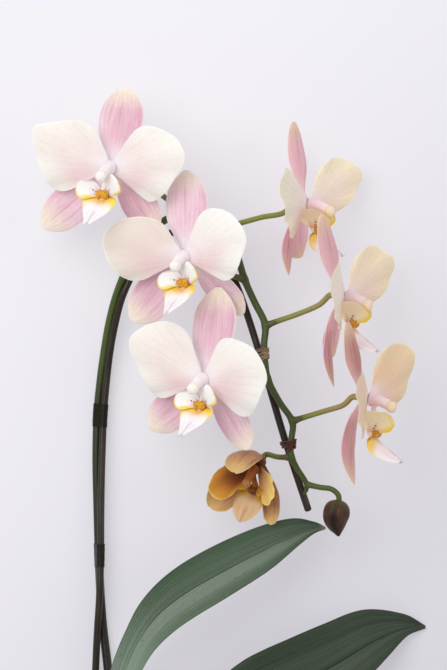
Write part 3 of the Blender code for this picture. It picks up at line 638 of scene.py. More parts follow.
def tonguePaint(brush):
    blade, across, tone = brush.numbers("along", "across", "tone")
    along = blade.atLeast(tone)  # the curls have the colour of the tip
    spread = brush.use(patches, 150.0)
    side = abs(across)
    brush.start((along + side * -0.12 + spread * 0.1).between(0.1, 0.4), "shoulder", "tongue")
    brush.over(side.hump(0.0, 0.3) * (1 - along.between(0.12, 0.46)) * 0.75, "heart")
    brush.over(side.between(0.8, 1.0) * (1 - along.between(0.35, 0.6)) * 0.8, "shoulder")
    brush.over(side.hump(0.0, 0.16) * along.between(0.4, 0.7) * 0.55
               + side.hump(0.55, 0.12) * along.between(0.4, 0.7) * 0.2, "keel")
    brush.over((1 - along.between(0.02, 0.12)) * 0.8, "rootEdge")
    brush.over(brush.use(speckles, 1100.0, 0.22) * (1 - along.between(0.06, 0.16)) * 0.8, "spot")
    return 0.4 + spread * 0.1, spread * 0.5 - side.hump(0.0, 0.08), 0.2


def callusPaint(brush):
    spread, spots = brush.use(patches, 380.0), brush.use(speckles, 1500.0, 0.34)
    brush.start(spread * 0.5, "callus", "shoulder")
    brush.over(spots * 0.8, "spot")
    return 0.34 + spread * 0.12, spots * -0.5 + spread, 0.2


def columnPaint(brush):
    along, = brush.numbers("along")
    spread = brush.use(patches, 200.0)
    brush.start(along.between(0.6, 0.78), "base", "cap")
    brush.over((1 - along.between(0.1, 0.5)) * 0.35 + spread * 0.12, "tint")
    # painted shade: a dark line in the groove round the foot of the cap, which the relief also sinks; the
    # spots are the cap's own dots
    capGrooveShade = along.hump(0.7, 0.025) * 0.25
    spots = brush.use(speckles, 700.0, 0.22) * along.between(0.8, 0.95)
    brush.over(capGrooveShade + spots * 0.7, "dot")
    return 0.38 + spread * 0.1, spread * 0.3 - capGrooveShade, 0.2


for palettes, paint in ((petalColours, petalPaint), (sepalColours, sepalPaint), (columnColours, columnPaint)):
    for name, palette in palettes.items():
        finish(name, paint, palette, **petalFlesh)
for name, palette in lipColours.items():
    finish(name + "Lobe", lobePaint, palette, **petalFlesh)
    finish(name + "Tongue", tonguePaint, palette, **petalFlesh)
    finish(name + "Callus", callusPaint, palette, **callusFlesh)


# Stem, stake, tie, leaf and bud finishes

stemColours = {
    "shade": (30, 44, 15), "green": (50, 76, 28), "light": (134, 140, 60), "tan": (166, 142, 92),
    "brown": (70, 52, 32), "dark": (24, 24, 10),
}
stakeColours = {"wood": (20, 14, 8), "fibre": (50, 38, 24), "worn": (84, 70, 50)}
bandColours = {"dark": (14, 10, 5), "light": (36, 28, 16)}
raffiaColours = {"straw": (196, 176, 142), "aged": (126, 92, 62), "fibre": (104, 74, 50)}
wireColours = {"dark": (56, 20, 16), "light": (92, 40, 30)}
crownColours = {"foot": (120, 104, 62), "top": (84, 112, 62), "fibre": (66, 58, 30),
                "pale": (150, 150, 104)}
leafColours = {
    "top": (78, 104, 76), "deep": (50, 72, 46), "light": (124, 136, 122), "rib": (50, 70, 46),
    "ribHighlight": (132, 146, 126), "edge": (42, 62, 36), "tip": (140, 140, 112),
    "base": (160, 180, 160), "shaded": (26, 38, 22),
}
budColours = {"skin": (62, 35, 23), "dark": (22, 10, 5), "light": (116, 90, 68), "green": (90, 78, 42)}


def stemPaint(brush):
    # tone runs from dark foot over green to the tan of the upper pedicels
    along, around, tone = brush.numbers("along", "around", "tone")
    fibres = brush.use(streaks, along, around, 26.0, 60.0)
    spread = brush.use(patches, 120.0)
    node = makeNode(brush.tree, "ShaderNodeValToRGB", {0: tone})
    stops = ((0.0, "dark"), (0.2, "shade"), (0.45, "green"), (0.62, "light"), (0.85, "tan"), (1.0, "brown"))
    node.color_ramp.interpolation = "EASE"
    while len(node.color_ramp.elements) < len(stops):
        node.color_ramp.elements.new(0.5)
    for element, (place, colour) in zip(node.color_ramp.elements, stops):
        element.position = place
    for element, (place, colour) in zip(node.color_ramp.elements, stops):
        element.color = ink(*brush.palette[colour])
    brush.colour = Field(brush.tree, node.outputs[0])
    brush.over(fibres * 0.28 * tone.between(0.05, 0.5), "light")
    brush.over(brush.use(speckles, 620.0, 0.2) * 0.35 + spread * 0.12, "brown")
    return 0.34 + spread * 0.14, fibres * 0.5 + spread * 0.5, 0.12


def stakePaint(brush):
    fibres = brush.use(streaks, *brush.numbers("along", "around"), 18.0, 14.0)
    brush.start(fibres * 0.7, "wood", "fibre")
    brush.over(brush.use(patches, 90.0) * 0.2, "worn")
    return 0.3 + fibres * 0.12, fibres, 0.05


def bandPaint(brush):
    ripple = noise(brush.tree, objectPlace(brush.tree), 420.0, 3.0)
    brush.start(ripple, "dark", "light")
    return 0.36 + ripple * 0.16, ripple, 0.1


def raffiaPaint(brush):
    along, around, tone = brush.numbers("along", "around", "tone")
    fibres = brush.use(streaks, along, around, 9.0, 40.0)
    brush.start(tone, "straw", "aged")
    brush.over(fibres * 0.55, "fibre")
    return 0.5 + fibres * 0.2, fibres, 0.12


def wirePaint(brush):
    fibres = brush.use(streaks, *brush.numbers("along", "around"), 6.0, 90.0)
    brush.start(fibres, "dark", "light")
    return 0.42 + fibres * 0.2, fibres, 0.1


def crownPaint(brush):
    along, around = brush.numbers("along", "around")
    fibres = brush.use(streaks, along, around, 60.0, 5.0)
    brush.start(along.between(0.0, 0.7), "foot", "top")
    brush.over(fibres * 0.45, "fibre")
    brush.over(brush.use(patches, 150.0) * 0.3, "pale")
    return 0.4 + fibres * 0.2, fibres, 0.25


def leafPaint(brush):
    # across runs from -1 at the upper edge to 1 at the lower one, and tone makes a leaf darker
    along, across, tone = brush.numbers("along", "across", "tone")
    fine = brush.use(streaks, along, across, 34.0, 1.6)
    broad = brush.use(streaks, along, across, 5.0, 0.7)
    spread = brush.use(patches, 26.0)
    short = 1 - along.between(0.85, 1.0)  # the rib ends before the tip
    brush.start(broad * 0.5 + spread * 0.25, "top", "deep")
    # painted sheen: a broad lighter band below the midrib and a faint one above it
    brush.over(across.hump(0.3, 0.34) * (0.85 + broad * -0.3) + across.hump(-0.4, 0.2) * 0.2, "light")
    # painted shade: darker towards both raised edges of the channel
    brush.over(across.between(0.5, 0.95) * 0.5 + (1 - across.between(-0.95, -0.6)) * 0.4, "deep")
    brush.over((1 - along.between(0.12, 0.52)) * (0.8 + broad * -0.2), "base")
    brush.over(fine * 0.2, "light")
    # painted shade and painted highlight: a dark line in the midrib groove and a light one just beside it
    brush.over(across.hump(0.0, 0.03) * 0.7 * short, "rib")
    brush.over(across.hump(0.06, 0.03) * 0.5 * short, "ribHighlight")
    brush.over(abs(across).between(0.955, 0.995) * 0.6, "edge")
    brush.over(along.between(0.975, 0.995), "tip")
    brush.over(brush.use(speckles, 150.0, 0.12) * 0.3, "edge")
    brush.over(tone * (1 - broad * 0.4), "shaded")
    return 0.34 + broad * 0.08 + spread * 0.08, fine * 0.5 + broad * 1.4, 0.3


def budPaint(brush):
    along, around = brush.numbers("along", "around")
    lines = brush.use(streaks, along, around, 30.0, 2.0)
    spread = brush.use(patches, 110.0)
    brush.start(lines * 0.6, "skin", "dark")
    brush.over(spread * 0.3, "light")
    # painted shade: darker along the three sunk seams and broadly around them
    third = (around * 3 - 0.5).fraction()
    seam = third.atMost(1 - third)
    brush.over((1 - seam.between(0.01, 0.05)) * 0.5 + (1 - seam.between(0.02, 0.22)) * 0.5, "dark")
    brush.over((1 - along.between(0.02, 0.3)) * 0.7, "green")
    return 0.38 + spread * 0.14, lines * 0.6 + spread, 0.16


finish("greenStem", stemPaint, stemColours, coat=0.12, coatRoughness=0.25, specular=0.35)
finish("darkStake", stakePaint, stakeColours, coat=0.18, coatRoughness=0.16, specular=0.3)
finish("thinBand", bandPaint, bandColours, specular=0.2)
finish("raffiaFibre", raffiaPaint, raffiaColours)
finish("woundWire", wirePaint, wireColours)
finish("leafBase", crownPaint, crownColours)
finish("strapLeaf", leafPaint, leafColours, coat=0.14, coatRoughness=0.3, specular=0.35,
       softWeight=0.05, softRadius=(0.4, 1.0, 0.3), softScale=1.0 * metre)
finish("brownBud", budPaint, budColours, specular=0.25, softWeight=0.05, softRadius=(1.0, 0.5, 0.3),
       softScale=1.0 * metre)
print("materials made:", len(looks))


# Shape trees

degree = np.pi / 180
# Relief of sepals (strips) and of petals and side lobes (fans). Waves: how many along the main
# way, then their slant or shift. Ribs: how many, then how high. The groove's width and the fold's place.
relief = {
    "stripWaves": (13.0, 2.2), "stripRibs": (15.7, 0.09), "stripGroove": 0.13,
    "fanRipples": (10.053, 0.6), "fanFrill": (23.0, 4.0), "fanRibs": (28.0, 0.06), "fanFold": 0.05,
}


def stripTree(name, outline):
    # a sepal: a strip with a rule for its width, curled along and across
    tree, given = openTree(name, {
        "Rows": 46, "Columns": 21, "Length": 45.0, "Start": 1.2, "Width": 24.0, "Bend": 4.0,
        "Cup": -22.0, "Groove": 0.5, "Wave": 0.3, "Thickness": 0.6, "Tone": 0.0, "Material": None})
    grid, across, step = gridPlace(tree, given)
    along = (step * (np.pi / 2)).sin() ** 1.15  # rows lie closer near the tip
    grid = stored(tree, grid, along=along, across=across, tone=given["Tone"])
    half = given["Width"] / 2 * curveOf(tree, outline, along)
    length, turn, curl = given["Length"], given["Bend"] * degree, given["Cup"] * degree
    x, forward = bentBy(along * (length - given["Start"]), length, turn)
    y = half * (curl * across).sin() / curl
    z = forward + half * (1 - (curl * across).cos()) / curl
    swell = (along * np.pi).sin()  # nothing at root and tip, most half way
    z = z - across.hump(0.0, relief["stripGroove"]) * swell * given["Groove"]
    waves, slant = relief["stripWaves"]
    z = z + (along * waves + across * slant).sin() * across * across * given["Wave"]
    count, height = relief["stripRibs"]
    ribs = (across * count).cos() * swell * height
    return bladeFrom(tree, given, grid, x, y, z + ribs)


def fanTree(name, outline):
    # a petal or side lobe: spread like a fan, with a rule for its reach at each angle
    low, high = outline[0][0], outline[-1][0]
    tree, given = openTree(name, {
        "Rows": 34, "Columns": 47, "Length": 45.0, "Claw": 2.5, "Bend": 4.0, "Cup": -16.0,
        "Ripple": 0.02, "Spread": 1.0, "Fold": 0.0, "Frill": 0.25, "Thickness": 0.55, "Tone": 0.0,
        "Material": None})
    grid, place, along = gridPlace(tree, given)
    across = ((place + 1) * (np.pi / 2)).cos() * -1  # columns lie closer near the sides
    grid = stored(tree, grid, along=along, across=across, tone=given["Tone"])
    length, turn = given["Length"], given["Bend"] * degree
    knots = [((a - low) / (high - low), r) for a, r in outline]
    reach = length * curveOf(tree, knots, (across + 1) / 2)
    flat, forward = bentBy(along * reach, length, turn)
    theta = (across * ((high - low) / 2) + (low + high) / 2) * given["Spread"] * degree
    x = flat * theta.cos()
    y = flat * theta.sin() + given["Claw"] * across * (1 - along) ** 1.5
    z = forward + (given["Cup"] * degree).sin() * y * y / length
    # slow ripples of the outer half, a fine frill at the very edge, a fold on the axis and low ribs
    waves, shift = relief["fanRipples"]
    z = z + (across * waves + shift).sin() * along ** 3.0 * length * given["Ripple"]
    waves, slant = relief["fanFrill"]
    z = z + (across * waves + along * slant).sin() * along ** 7.0 * given["Frill"]
    z = z + abs(across - relief["fanFold"]) * along * length * given["Fold"]
    count, height = relief["fanRibs"]
    ribs = (across * count).cos() * along.hump(0.45, 0.3) * height
    return bladeFrom(tree, given, grid, x, y, z + ribs)


def rodTree():
    # rods, wires and strands: a round section carried along each path
    tree, given = openTree("rodsAlongPaths", {"Geometry": "", "Sides": 16, "Material": None})
    line = made(tree, "GeometryNodeMeshToCurve", {"Mesh": given["Geometry"]})
    circle = made(tree, "GeometryNodeCurvePrimitiveCircle", {"Resolution": given["Sides"], "Radius": 1.0})
    section = stored(tree, circle, around=made(tree, "GeometryNodeInputIndex") / given["Sides"])
    skin = made(tree, "GeometryNodeCurveToMesh", {"Curve": line, "Profile Curve": section,
                                                  "Scale": recalled(tree, "thick"), "Fill Caps": True})
    return closeShape(tree, skin, given["Material"])


def wartTree():
    # small warts of uneven size scattered over a form
    tree, given = openTree("wartsOnSurface", {"Geometry": "", "Density": 3.0, "Size": 0.3,
                                              "Seed": 5, "Material": None})
    spots = made(tree, "GeometryNodeDistributePointsOnFaces",
                 {"Mesh": given["Geometry"], "Density": given["Density"], "Seed": given["Seed"]})
    wart = made(tree, "GeometryNodeMeshIcoSphere", {"Radius": 1.0, "Subdivisions": 2})
    size = made(tree, "FunctionNodeRandomValue", {"Seed": given["Seed"], 2: 0.6, 3: 1.3}, 1,
                data_type="FLOAT")
    placed = made(tree, "GeometryNodeInstanceOnPoints",
                  {"Points": spots, "Instance": wart, "Scale": size * given["Size"]})
    return closeShape(tree, together(tree, placed, given["Geometry"]), given["Material"])


upperSepalTree = stripTree("upperSepal", [
    (0, 0.2), (0.1, 0.3), (0.25, 0.62), (0.42, 0.92), (0.56, 1.0), (0.72, 0.93), (0.86, 0.68),
    (0.95, 0.38), (1, 0.13)])
lowerSepalTree = stripTree("lowerSepal", [
    (0, 0.2), (0.1, 0.3), (0.25, 0.58), (0.42, 0.86), (0.6, 1.0), (0.76, 0.95), (0.89, 0.68),
    (0.96, 0.4), (1, 0.14)])
lobeTree = fanTree("sideLobe", [
    (-60, 0.5), (-48, 0.84), (-30, 1.04), (-8, 1.08), (16, 1.02), (34, 0.9), (46, 0.62)])
rods, warts = rodTree(), wartTree()


def rodMesh(paths, look, sides):
    # each path is (points, radii, tone)
    points, edges, thick, along, tones = [], [], [], [], []
    for path, radii, tone in paths:
        start, count = len(points), len(path)
        points += [tuple(p) for p in path]
        edges += [(start + k, start + k + 1) for k in range(count - 1)]
        thick += list(np.broadcast_to(radii, count))
        along += list(np.linspace(0, 1, count))
        tones += list(np.broadcast_to(tone, count))
    line = bpy.data.meshes.new("paths")
    line.from_pydata(points, edges, [])
    storeOn(line, thick=thick, along=along, tone=tones)
    return grown(rods, line, Sides=sides, Material=look)


# Blooms

bloomShape = {
    "sepalThickness": 0.62, "sepalHub": (3.2, 3.2, 1.5), "sepalHubDepth": -3.4, "sepalStart": 1.2,
    "sepalGrooves": (0.45, 0.8),  # of the upper sepal and the two lower ones
    "petalThickness": 0.55, "petalHub": (3.2, 3.2, 1.4), "petalStart": 1.0, "petalClaw": 0.055,
    "petalCup": -16.0, "pedicelBehindHub": 1.2,
    "columnRings": 40, "columnSides": 24,
    "columnPath": [(0, -0.1, 1.8), (0, -0.6, 5.5), (0, -1.7, 9.5), (0, -3.0, 12.6), (0, -3.9, 14.4),
                   (0, -4.7, 16.0), (0, -5.1, 17.0)],
    "columnRadii": [(0, 4.2), (0.14, 3.6), (0.34, 3.0), (0.55, 2.8), (0.7, 2.9), (0.78, 3.1),
                    (0.86, 3.1), (0.93, 2.5), (0.98, 1.4), (1, 0.3)],
}
# Each sepal: angle, sweep, length, width, bend. Each petal: angle, sweep, length, bend and at
# times its cup, with its outline as (angle from its axis, reach). A lip: size, how far right and
# down it lies, and its skew. Tones choose between the colours of a finish.
blooms = {
    "bloom_1": {
        "kind": "pale", "hub": (-66.0, 144.5, 47.0), "turn": (-19, 6, -5),
        "sepals": [(0.6, -15, 45.3, 27, -8), (-133.5, -3, 54, 24, 4), (144, -10, 43, 21, 4)],
        "sepalTones": (0.6, 0.15, 0.5),
        "petals": [(-77, 9, 49, -14), (82, 3, 47, -14)], "petalTones": (0.35, 0.25),
        "folds": (0.05, 0.0), "lip": (1.0, -2.0, 0.6, -8),
        "outlines": (
            [(-48, 0.44), (-44, 0.64), (-36, 0.74), (-24, 0.79), (-10, 0.87), (2, 0.96), (9, 1.0),
             (20, 0.84), (33, 0.7), (46, 0.57), (54, 0.44)],
            [(-50, 0.42), (-48, 0.6), (-37, 0.68), (-24, 0.74), (-10, 0.81), (-2, 0.89), (6, 0.93),
             (17, 0.89), (28, 0.8), (42, 0.69), (52, 0.57), (56, 0.42)]),
    },
    "bloom_2": {
        "kind": "pale", "hub": (-25.3, 95.3, 55.0), "turn": (-21, 6, 3),
        "sepals": [(-2.4, -14, 48.6, 26, -8), (-133, -5, 50.2, 25, 4), (143, -15, 45, 17, 0)],
        "sepalTones": (0.05, 0.5, 0.0),
        "petals": [(-83, 15, 49.5, -14), (87, 15, 42, -14)], "petalTones": (0.9, 0.1),
        "lip": (1.0, -0.6, 0.0, -16),
        "outlines": (
            [(-35, 0.4), (-33, 0.54), (-28, 0.66), (-20, 0.76), (-10, 0.84), (0, 0.91), (10, 0.95),
             (20, 0.9), (37, 0.7), (46, 0.59), (55, 0.46), (60, 0.32)],
            [(-38, 0.48), (-36, 0.65), (-28, 0.74), (-14, 0.83), (1, 0.91), (10, 0.98), (20, 0.97),
             (30, 0.91), (43, 0.83), (56, 0.73), (64, 0.63), (68, 0.48)]),
    },
    "bloom_3": {
        "kind": "pale", "hub": (-14.8, 28.0, 64.0), "turn": (-23, 6, -4),
        "sepals": [(-0.4, -14, 51.5, 26.5, -8), (-132, -5, 45.6, 23, 4), (147, -8, 45.6, 18.5, 4)],
        "sepalTones": (0.55, 0.6, 0.25),
        "petals": [(-76, 15, 46.5, -14), (89, 15, 43, -14)], "petalTones": (0.4, 0.2),
        "folds": (0.03, 0.0), "lip": (1.0, 0.4, -0.4, -12),
        "outlines": (
            [(-46, 0.4), (-41, 0.58), (-32, 0.65), (-18, 0.72), (-5, 0.82), (4, 0.93), (12, 1.01),
             (23, 0.96), (31, 0.9), (42, 0.81), (51, 0.69), (57, 0.56), (60, 0.42)],
            [(-44, 0.5), (-42, 0.68), (-33, 0.79), (-22, 0.84), (-5, 0.9), (7, 0.95), (16, 0.93),
             (25, 0.89), (35, 0.81), (47, 0.72), (60, 0.65), (71, 0.56), (75, 0.44)]),
    },
    "bloom_4": {
        "kind": "warm", "hub": (43.5, 125.0, 29.7), "turn": (55, 4, 7),
        "sepals": [(7, -8.7, 45.3, 17, -8), (-148, -12, 45, 11, 40), (155, -27, 38, 25, 18)],
        "sepalTones": (0.0, 0.15, 0.0),
        "petals": [(-79, 14, 43, 0, 0), (81, 22, 40, 0)], "petalTones": (0.0, 0.3),
        "lip": (0.9, 0.0, 1.5, 0),
        "outlines": (
            [(-50, 0.45), (-48, 0.66), (-34, 0.74), (-20, 0.81), (-3, 0.95), (6, 1.08), (13, 1.13),
             (20, 1.1), (25, 0.95), (28, 0.65)],
            [(-36, 0.38), (-30, 0.51), (-20, 0.59), (-9, 0.71), (1, 0.82), (8, 0.92), (14, 0.95),
             (22, 0.91), (32, 0.85), (45, 0.75), (54, 0.62), (61, 0.48), (66, 0.34)]),
    },
    "bloom_5": {
        "kind": "warm", "hub": (63.3, 73.4, 49.0), "turn": (62, 4, 0),
        "sepals": [(-15, -6, 46.6, 20, -8), (-168, -13, 52, 11, 40), (157, -18, 38, 21, 10)],
        "sepalTones": (0.2, 0.25, 0.1),
        "petals": [(-86, 17, 41, 0, 11), (69, 24, 38.6, 0)], "petalTones": (0.0, 0.5),
        "lip": (0.9, 0.5, 2.0, 0),
        "outlines": (
            [(-64, 0.42), (-60, 0.55), (-50, 0.61), (-36, 0.67), (-22, 0.76), (-5, 0.96), (6, 1.12),
             (14, 1.2), (22, 1.14), (28, 0.9), (33, 0.5)],
            [(-38, 0.42), (-31, 0.54), (-20, 0.64), (-9, 0.76), (2, 0.86), (9, 0.95), (16, 0.98),
             (27, 0.93), (40, 0.88), (48, 0.79), (58, 0.6), (66, 0.42)]),
    },
    "bloom_6": {
        "kind": "warm", "hub": (75.9, 17.5, 59.0), "turn": (66, 4, 0),
        "sepals": [(-21, -3, 44.5, 18.5, -8), (-166, -15, 50, 20, 40), (168, -25, 38, 16, 30)],
        "sepalTones": (1.0, 0.55, 0.6),
        "petals": [(-88, 14, 41, 0, 8), (65, 24, 39.5, 0)], "petalTones": (0.8, 0.9),
        "lip": (0.93, -1.0, 6.0, 0),
        "outlines": (
            [(-62, 0.4), (-56, 0.68), (-46, 0.77), (-36, 0.75), (-20, 0.77), (-5, 0.92), (5, 1.0),
             (13, 1.03), (22, 0.97), (28, 0.75), (34, 0.36)],
            [(-42, 0.42), (-36, 0.6), (-21, 0.67), (-4, 0.77), (8, 0.89), (17, 0.99), (25, 1.01),
             (35, 0.94), (46, 0.82), (56, 0.64), (64, 0.42)]),
    },
    "opening_bloom": {
        "kind": "gold", "hub": (15.5, -19.0, 38.0), "turn": (-36, 34, -14),
        "sepals": [(0.5, 12, 36, 20, 118), (-134, 10, 40.5, 19, 55), (152, 6, 37, 15.5, 54)],
        "sepalTones": (0.3, 0.2, 1.0),
        "petals": [(-102, 36, 34, 48, 22), (124, 46, 28, 0, -16)], "petalTones": (0.0, 1.0),
        "lip": (0.8, -1.6, 1.2, -8),
        "lift": 2.5,  # its lip and column stand this much further out
        "outlines": (
            [(-47, 0.42), (-43, 0.66), (-34, 0.8), (-20, 0.9), (-5, 0.97), (8, 0.97), (20, 0.86),
             (34, 0.72), (48, 0.56), (57, 0.42)],
            [(-38, 0.42), (-34, 0.54), (-28, 0.68), (-20, 0.8), (-5, 0.93), (10, 1.0), (24, 0.97),
             (38, 0.84), (50, 0.68), (57, 0.45)]),
    },
}


def placeOf(along, across, out, origin):
    matrix = Matrix((along, across, out)).transposed().to_4x4()
    matrix.translation = origin
    return matrix


def tepalPlace(angle, sweep, depth, start):
    # along, across and out of a petal or sepal that leaves the hub at an angle
    a, s = np.radians((angle, sweep))
    along = (np.sin(a) * np.cos(s), np.cos(a) * np.cos(s), np.sin(s))
    out = (-np.sin(a) * np.sin(s), -np.cos(a) * np.sin(s), np.cos(s))
    return placeOf(along, (np.cos(a), -np.sin(a), 0.0), out, (0, 0, depth)) \
        @ Matrix.Translation((start, 0, 0))


def notZero(bend):
    return float(bend if abs(bend) > 0.5 else 0.5)


def sepalMeshes(flower, kind, look):
    depth, start = bloomShape["sepalHubDepth"], bloomShape["sepalStart"]
    meshes = [eggMesh("hub", (0, 0, depth), bloomShape["sepalHub"], look)]
    for k, (angle, sweep, length, width, bend) in enumerate(flower["sepals"]):
        mesh = grown(lowerSepalTree if k else upperSepalTree, Length=float(length),
                     Width=float(width), Bend=notZero(bend), Cup=kind["sepalCup"],
                     Groove=bloomShape["sepalGrooves"][k > 0], Thickness=bloomShape["sepalThickness"],
                     Tone=flower["sepalTones"][k], Material=look)
        mesh.transform(tepalPlace(angle, sweep, depth, start))
        meshes.append(mesh)
    return meshes


def petalMeshes(label, flower, kind, look):
    start = bloomShape["petalStart"]
    meshes = [eggMesh("hub", (0, 0, 0), bloomShape["petalHub"], look)]
    for side, (angle, sweep, length, bend, *ownCup) in enumerate(flower["petals"]):
        tree = fanTree(label + ("LeftPetal", "RightPetal")[side], flower["outlines"][side])
        mesh = grown(tree, Length=length - start, Claw=bloomShape["petalClaw"] * length,
                     Bend=notZero(bend), Cup=float(ownCup[0] if ownCup else bloomShape["petalCup"]),
                     Spread=kind["petalSpread"], Fold=flower.get("folds", (0.0, 0.0))[side],
                     Thickness=bloomShape["petalThickness"], Tone=flower["petalTones"][side],
                     Material=look)
        flip = Matrix.Scale(1 if angle < 0 else -1, 4, (0, 1, 0))
        mesh.transform(tepalPlace(angle, sweep, 0.0, start) @ flip)
        tidyMesh(mesh)
        meshes.append(mesh)
    return meshes


def columnMeshes(flower, kind, look):
    size, rings = kind["columnSize"], bloomShape["columnRings"]
    path = splineThrough(bloomShape["columnPath"], rings) * size
    path[:, 2] += flower.get("lift", 0.0)
    radii = smoothValue(bloomShape["columnRadii"], np.linspace(0, 1, rings))
    return [rodMesh([(path, radii * size, 0.0)], look, bloomShape["columnSides"])]


lipShape = {
    "pivot": 12.0,  # how far out of the face the upright is that a skewed lip turns about
    "foot": (0, -2.8, 3.9), "footGap": 0.3,  # where the claw starts on a column of full size
    "claw": [(0, -9.4, 3.6), (0, -14.0, 4.2), (0, -17.4, 7.6)],
    "clawRadii": [(0, 1.4), (0.33, 1.7), (0.68, 2.7), (0.86, 2.2), (1, 1.1)],
    "clawRings": 24, "clawSides": 18,
    "lobeRoot": (1.6, -14.5, 4.4),
    "lobe": {"Rows": 26, "Columns": 31, "Claw": 1.6, "Bend": 30.0, "Cup": 10.0, "Ripple": 0.0,
             "Frill": 0.12, "Thickness": 0.6},
    "callusPlace": (1.25, -13.9, 7.3), "callusRadii": (2.2, 2.3, 2.2),
    "warts": {"Density": 1.6, "Size": 0.45},
    "tongueRoot": (0, -15.2, 4.8), "tongueWay": (0, -0.632, 0.775), "tongueLength": 24.0,
    "tongueHalf": 10.4, "tongueThickness": 0.9, "tongueBend": 8.0, "tongueGrid": (41, 25),
    "tongueDip": 1.6, "dipPlace": 0.5, "dipLength": 0.35, "keel": 0.5, "keelWidth": 0.12,
    "curl": [(0.4, 1.8, -1.6), (1.2, 0.2, -0.2), (2.0, -1.0, 1.2), (2.9, -0.5, 2.0), (3.3, 0.4, 2.3)],
    "curlRadii": (0.68, 0.25), "curlRings": 18, "curlSides": 10,
}
# What the three kinds of bloom differ in. Finishes and slots are those of sepals, petals, lip and
# column. For its left and its right side lobe, each kind says which way the lobe points, which way
# it spreads, how far it reaches and how full it is. Flank is how far the tongue's sides fall.
bloomKinds = {
    "pale": {
        "finishes": ("pinkSepal", "palePetal", "lip", "column"),
        "slots": ("sepal_pink", "petal_pale", "lip", "column"),
        "sepalCup": -22.0, "petalSpread": 1.0, "columnSize": 1.0,
        "ways": ((-0.8, 0.46, 0.4), (0.5, 0.62, 0.6)), "spreads": ((0.0, -0.6, 0.8), (0.75, -0.45, 0.2)),
        "reach": (14.5, 13.0), "fullness": (0.95, 0.85),
        "tongue": [(0, 0.42), (0.1, 0.82), (0.2, 1.0), (0.34, 0.93), (0.55, 0.7), (0.78, 0.42),
                   (1, 0.16)],
        "tongueSpread": 1.0, "flank": -0.22, "curl": 0.6,
    },
    "warm": {
        "finishes": ("warmSepal", "warmPetal", "warmLip", "warmColumn"),
        "slots": ("sepal_warm", "petal_warm", "lip", "column"),
        "sepalCup": -22.0, "petalSpread": 1.0, "columnSize": 1.0,
        "ways": ((-0.16, 0.86, 0.46), (0.16, 0.86, 0.46)),
        "spreads": ((0.45, -0.42, 0.79), (-0.2, -0.42, 0.85)),
        "reach": (17.0, 14.5), "fullness": (1.15, 1.0),
        "tongue": [(0, 0.42), (0.1, 0.72), (0.25, 0.9), (0.45, 0.86), (0.7, 0.66), (0.9, 0.48),
                   (1, 0.3)],
        "tongueSpread": 0.8, "flank": 0.7, "curl": 0.4,
    },
    "gold": {
        "finishes": ("goldSepal", "goldPetal", "goldLip", "goldColumn"),
        "slots": ("sepal_gold", "petal_gold", "lip_gold", "column_gold"),
        "sepalCup": 48.0, "petalSpread": 0.66, "columnSize": 0.8,
        "ways": ((-0.4, 0.42, 0.42), (0.4, 0.42, 0.42)), "spreads": ((0.0, -0.6, 0.8), (0.0, -0.6, 0.8)),
        "reach": (13.5, 13.5), "fullness": (0.55, 0.55),
        "tongue": [(0, 0.5), (0.14, 0.86), (0.35, 1.0), (0.6, 0.94), (0.8, 0.74), (0.93, 0.46),
                   (1, 0.2)],
        "tongueSpread": 1.1, "flank": -0.22, "curl": 0.3,
    },
}


def lipMeshes(flower, kind, name, clawLook):
    lobeLook, tongueLook, callusLook = (looks[name + part] for part in ("Lobe", "Tongue", "Callus"))
    size, right, down, skew = flower["lip"]
    upright = Matrix.Translation((0, 0, lipShape["pivot"]))
    place = Matrix.Translation((right, -down, 0)) @ upright @ Matrix.Rotation(np.radians(skew), 4, "Y") \
        @ upright.inverted() @ Matrix.Scale(size, 4)
    # the claw starts under the column, which isn't skewed
    foot = np.array(lipShape["foot"]) * kind["columnSize"] - (0, lipShape["footGap"], 0)
    way = splineThrough([place.inverted() @ Vector(foot), *lipShape["claw"]], lipShape["clawRings"])
    radii = smoothValue(lipShape["clawRadii"], np.linspace(0, 1, lipShape["clawRings"]))
    meshes = [rodMesh([(way, radii, 0.0)], clawLook, lipShape["clawSides"])]
    for side, mirror in enumerate((-1, 1)):
        along, across = unit(np.array(kind["ways"][side])), np.array(kind["spreads"][side])
        across = unit(across - along * across.dot(along))
        mesh = grown(lobeTree, Length=kind["reach"][side], Spread=kind["fullness"][side],
                     Tone=float(side), Material=lobeLook, **lipShape["lobe"])
        root = Vector(lipShape["lobeRoot"]) * Vector((mirror, 1, 1))
        mesh.transform(placeOf(along, across, np.cross(along, across) * mirror, root))
        tidyMesh(mesh)
        meshes.append(mesh)
    # callus: two warty halves at the root of the tongue
    for side in (-1, 1):
        x, y, z = lipShape["callusPlace"]
        egg = eggMesh("callus", (side * x, y, z), lipShape["callusRadii"], callusLook)
        meshes.append(grown(warts, egg, Material=callusLook, **lipShape["warts"]))
    # tongue and its two curls
    middle = tonguePoints(kind)
    meshes.append(bladeMesh("tongue", middle, lipShape["tongueThickness"], tongueLook))
    tip = middle[-1, middle.shape[1] // 2]
    rings = lipShape["curlRings"]
    thin = np.linspace(*lipShape["curlRadii"], rings) * kind["curl"]**0.5
    ways = [splineThrough(np.array(lipShape["curl"]) * (side, 1, 1), rings) for side in (-1, 1)]
    curls = [(tip + kind["curl"] * way, thin, 1.0) for way in ways]
    meshes.append(rodMesh(curls, tongueLook, lipShape["curlSides"]))
    for mesh in meshes:
        mesh.transform(Matrix.Translation((0, 0, flower.get("lift", 0.0))) @ place)
    return meshes


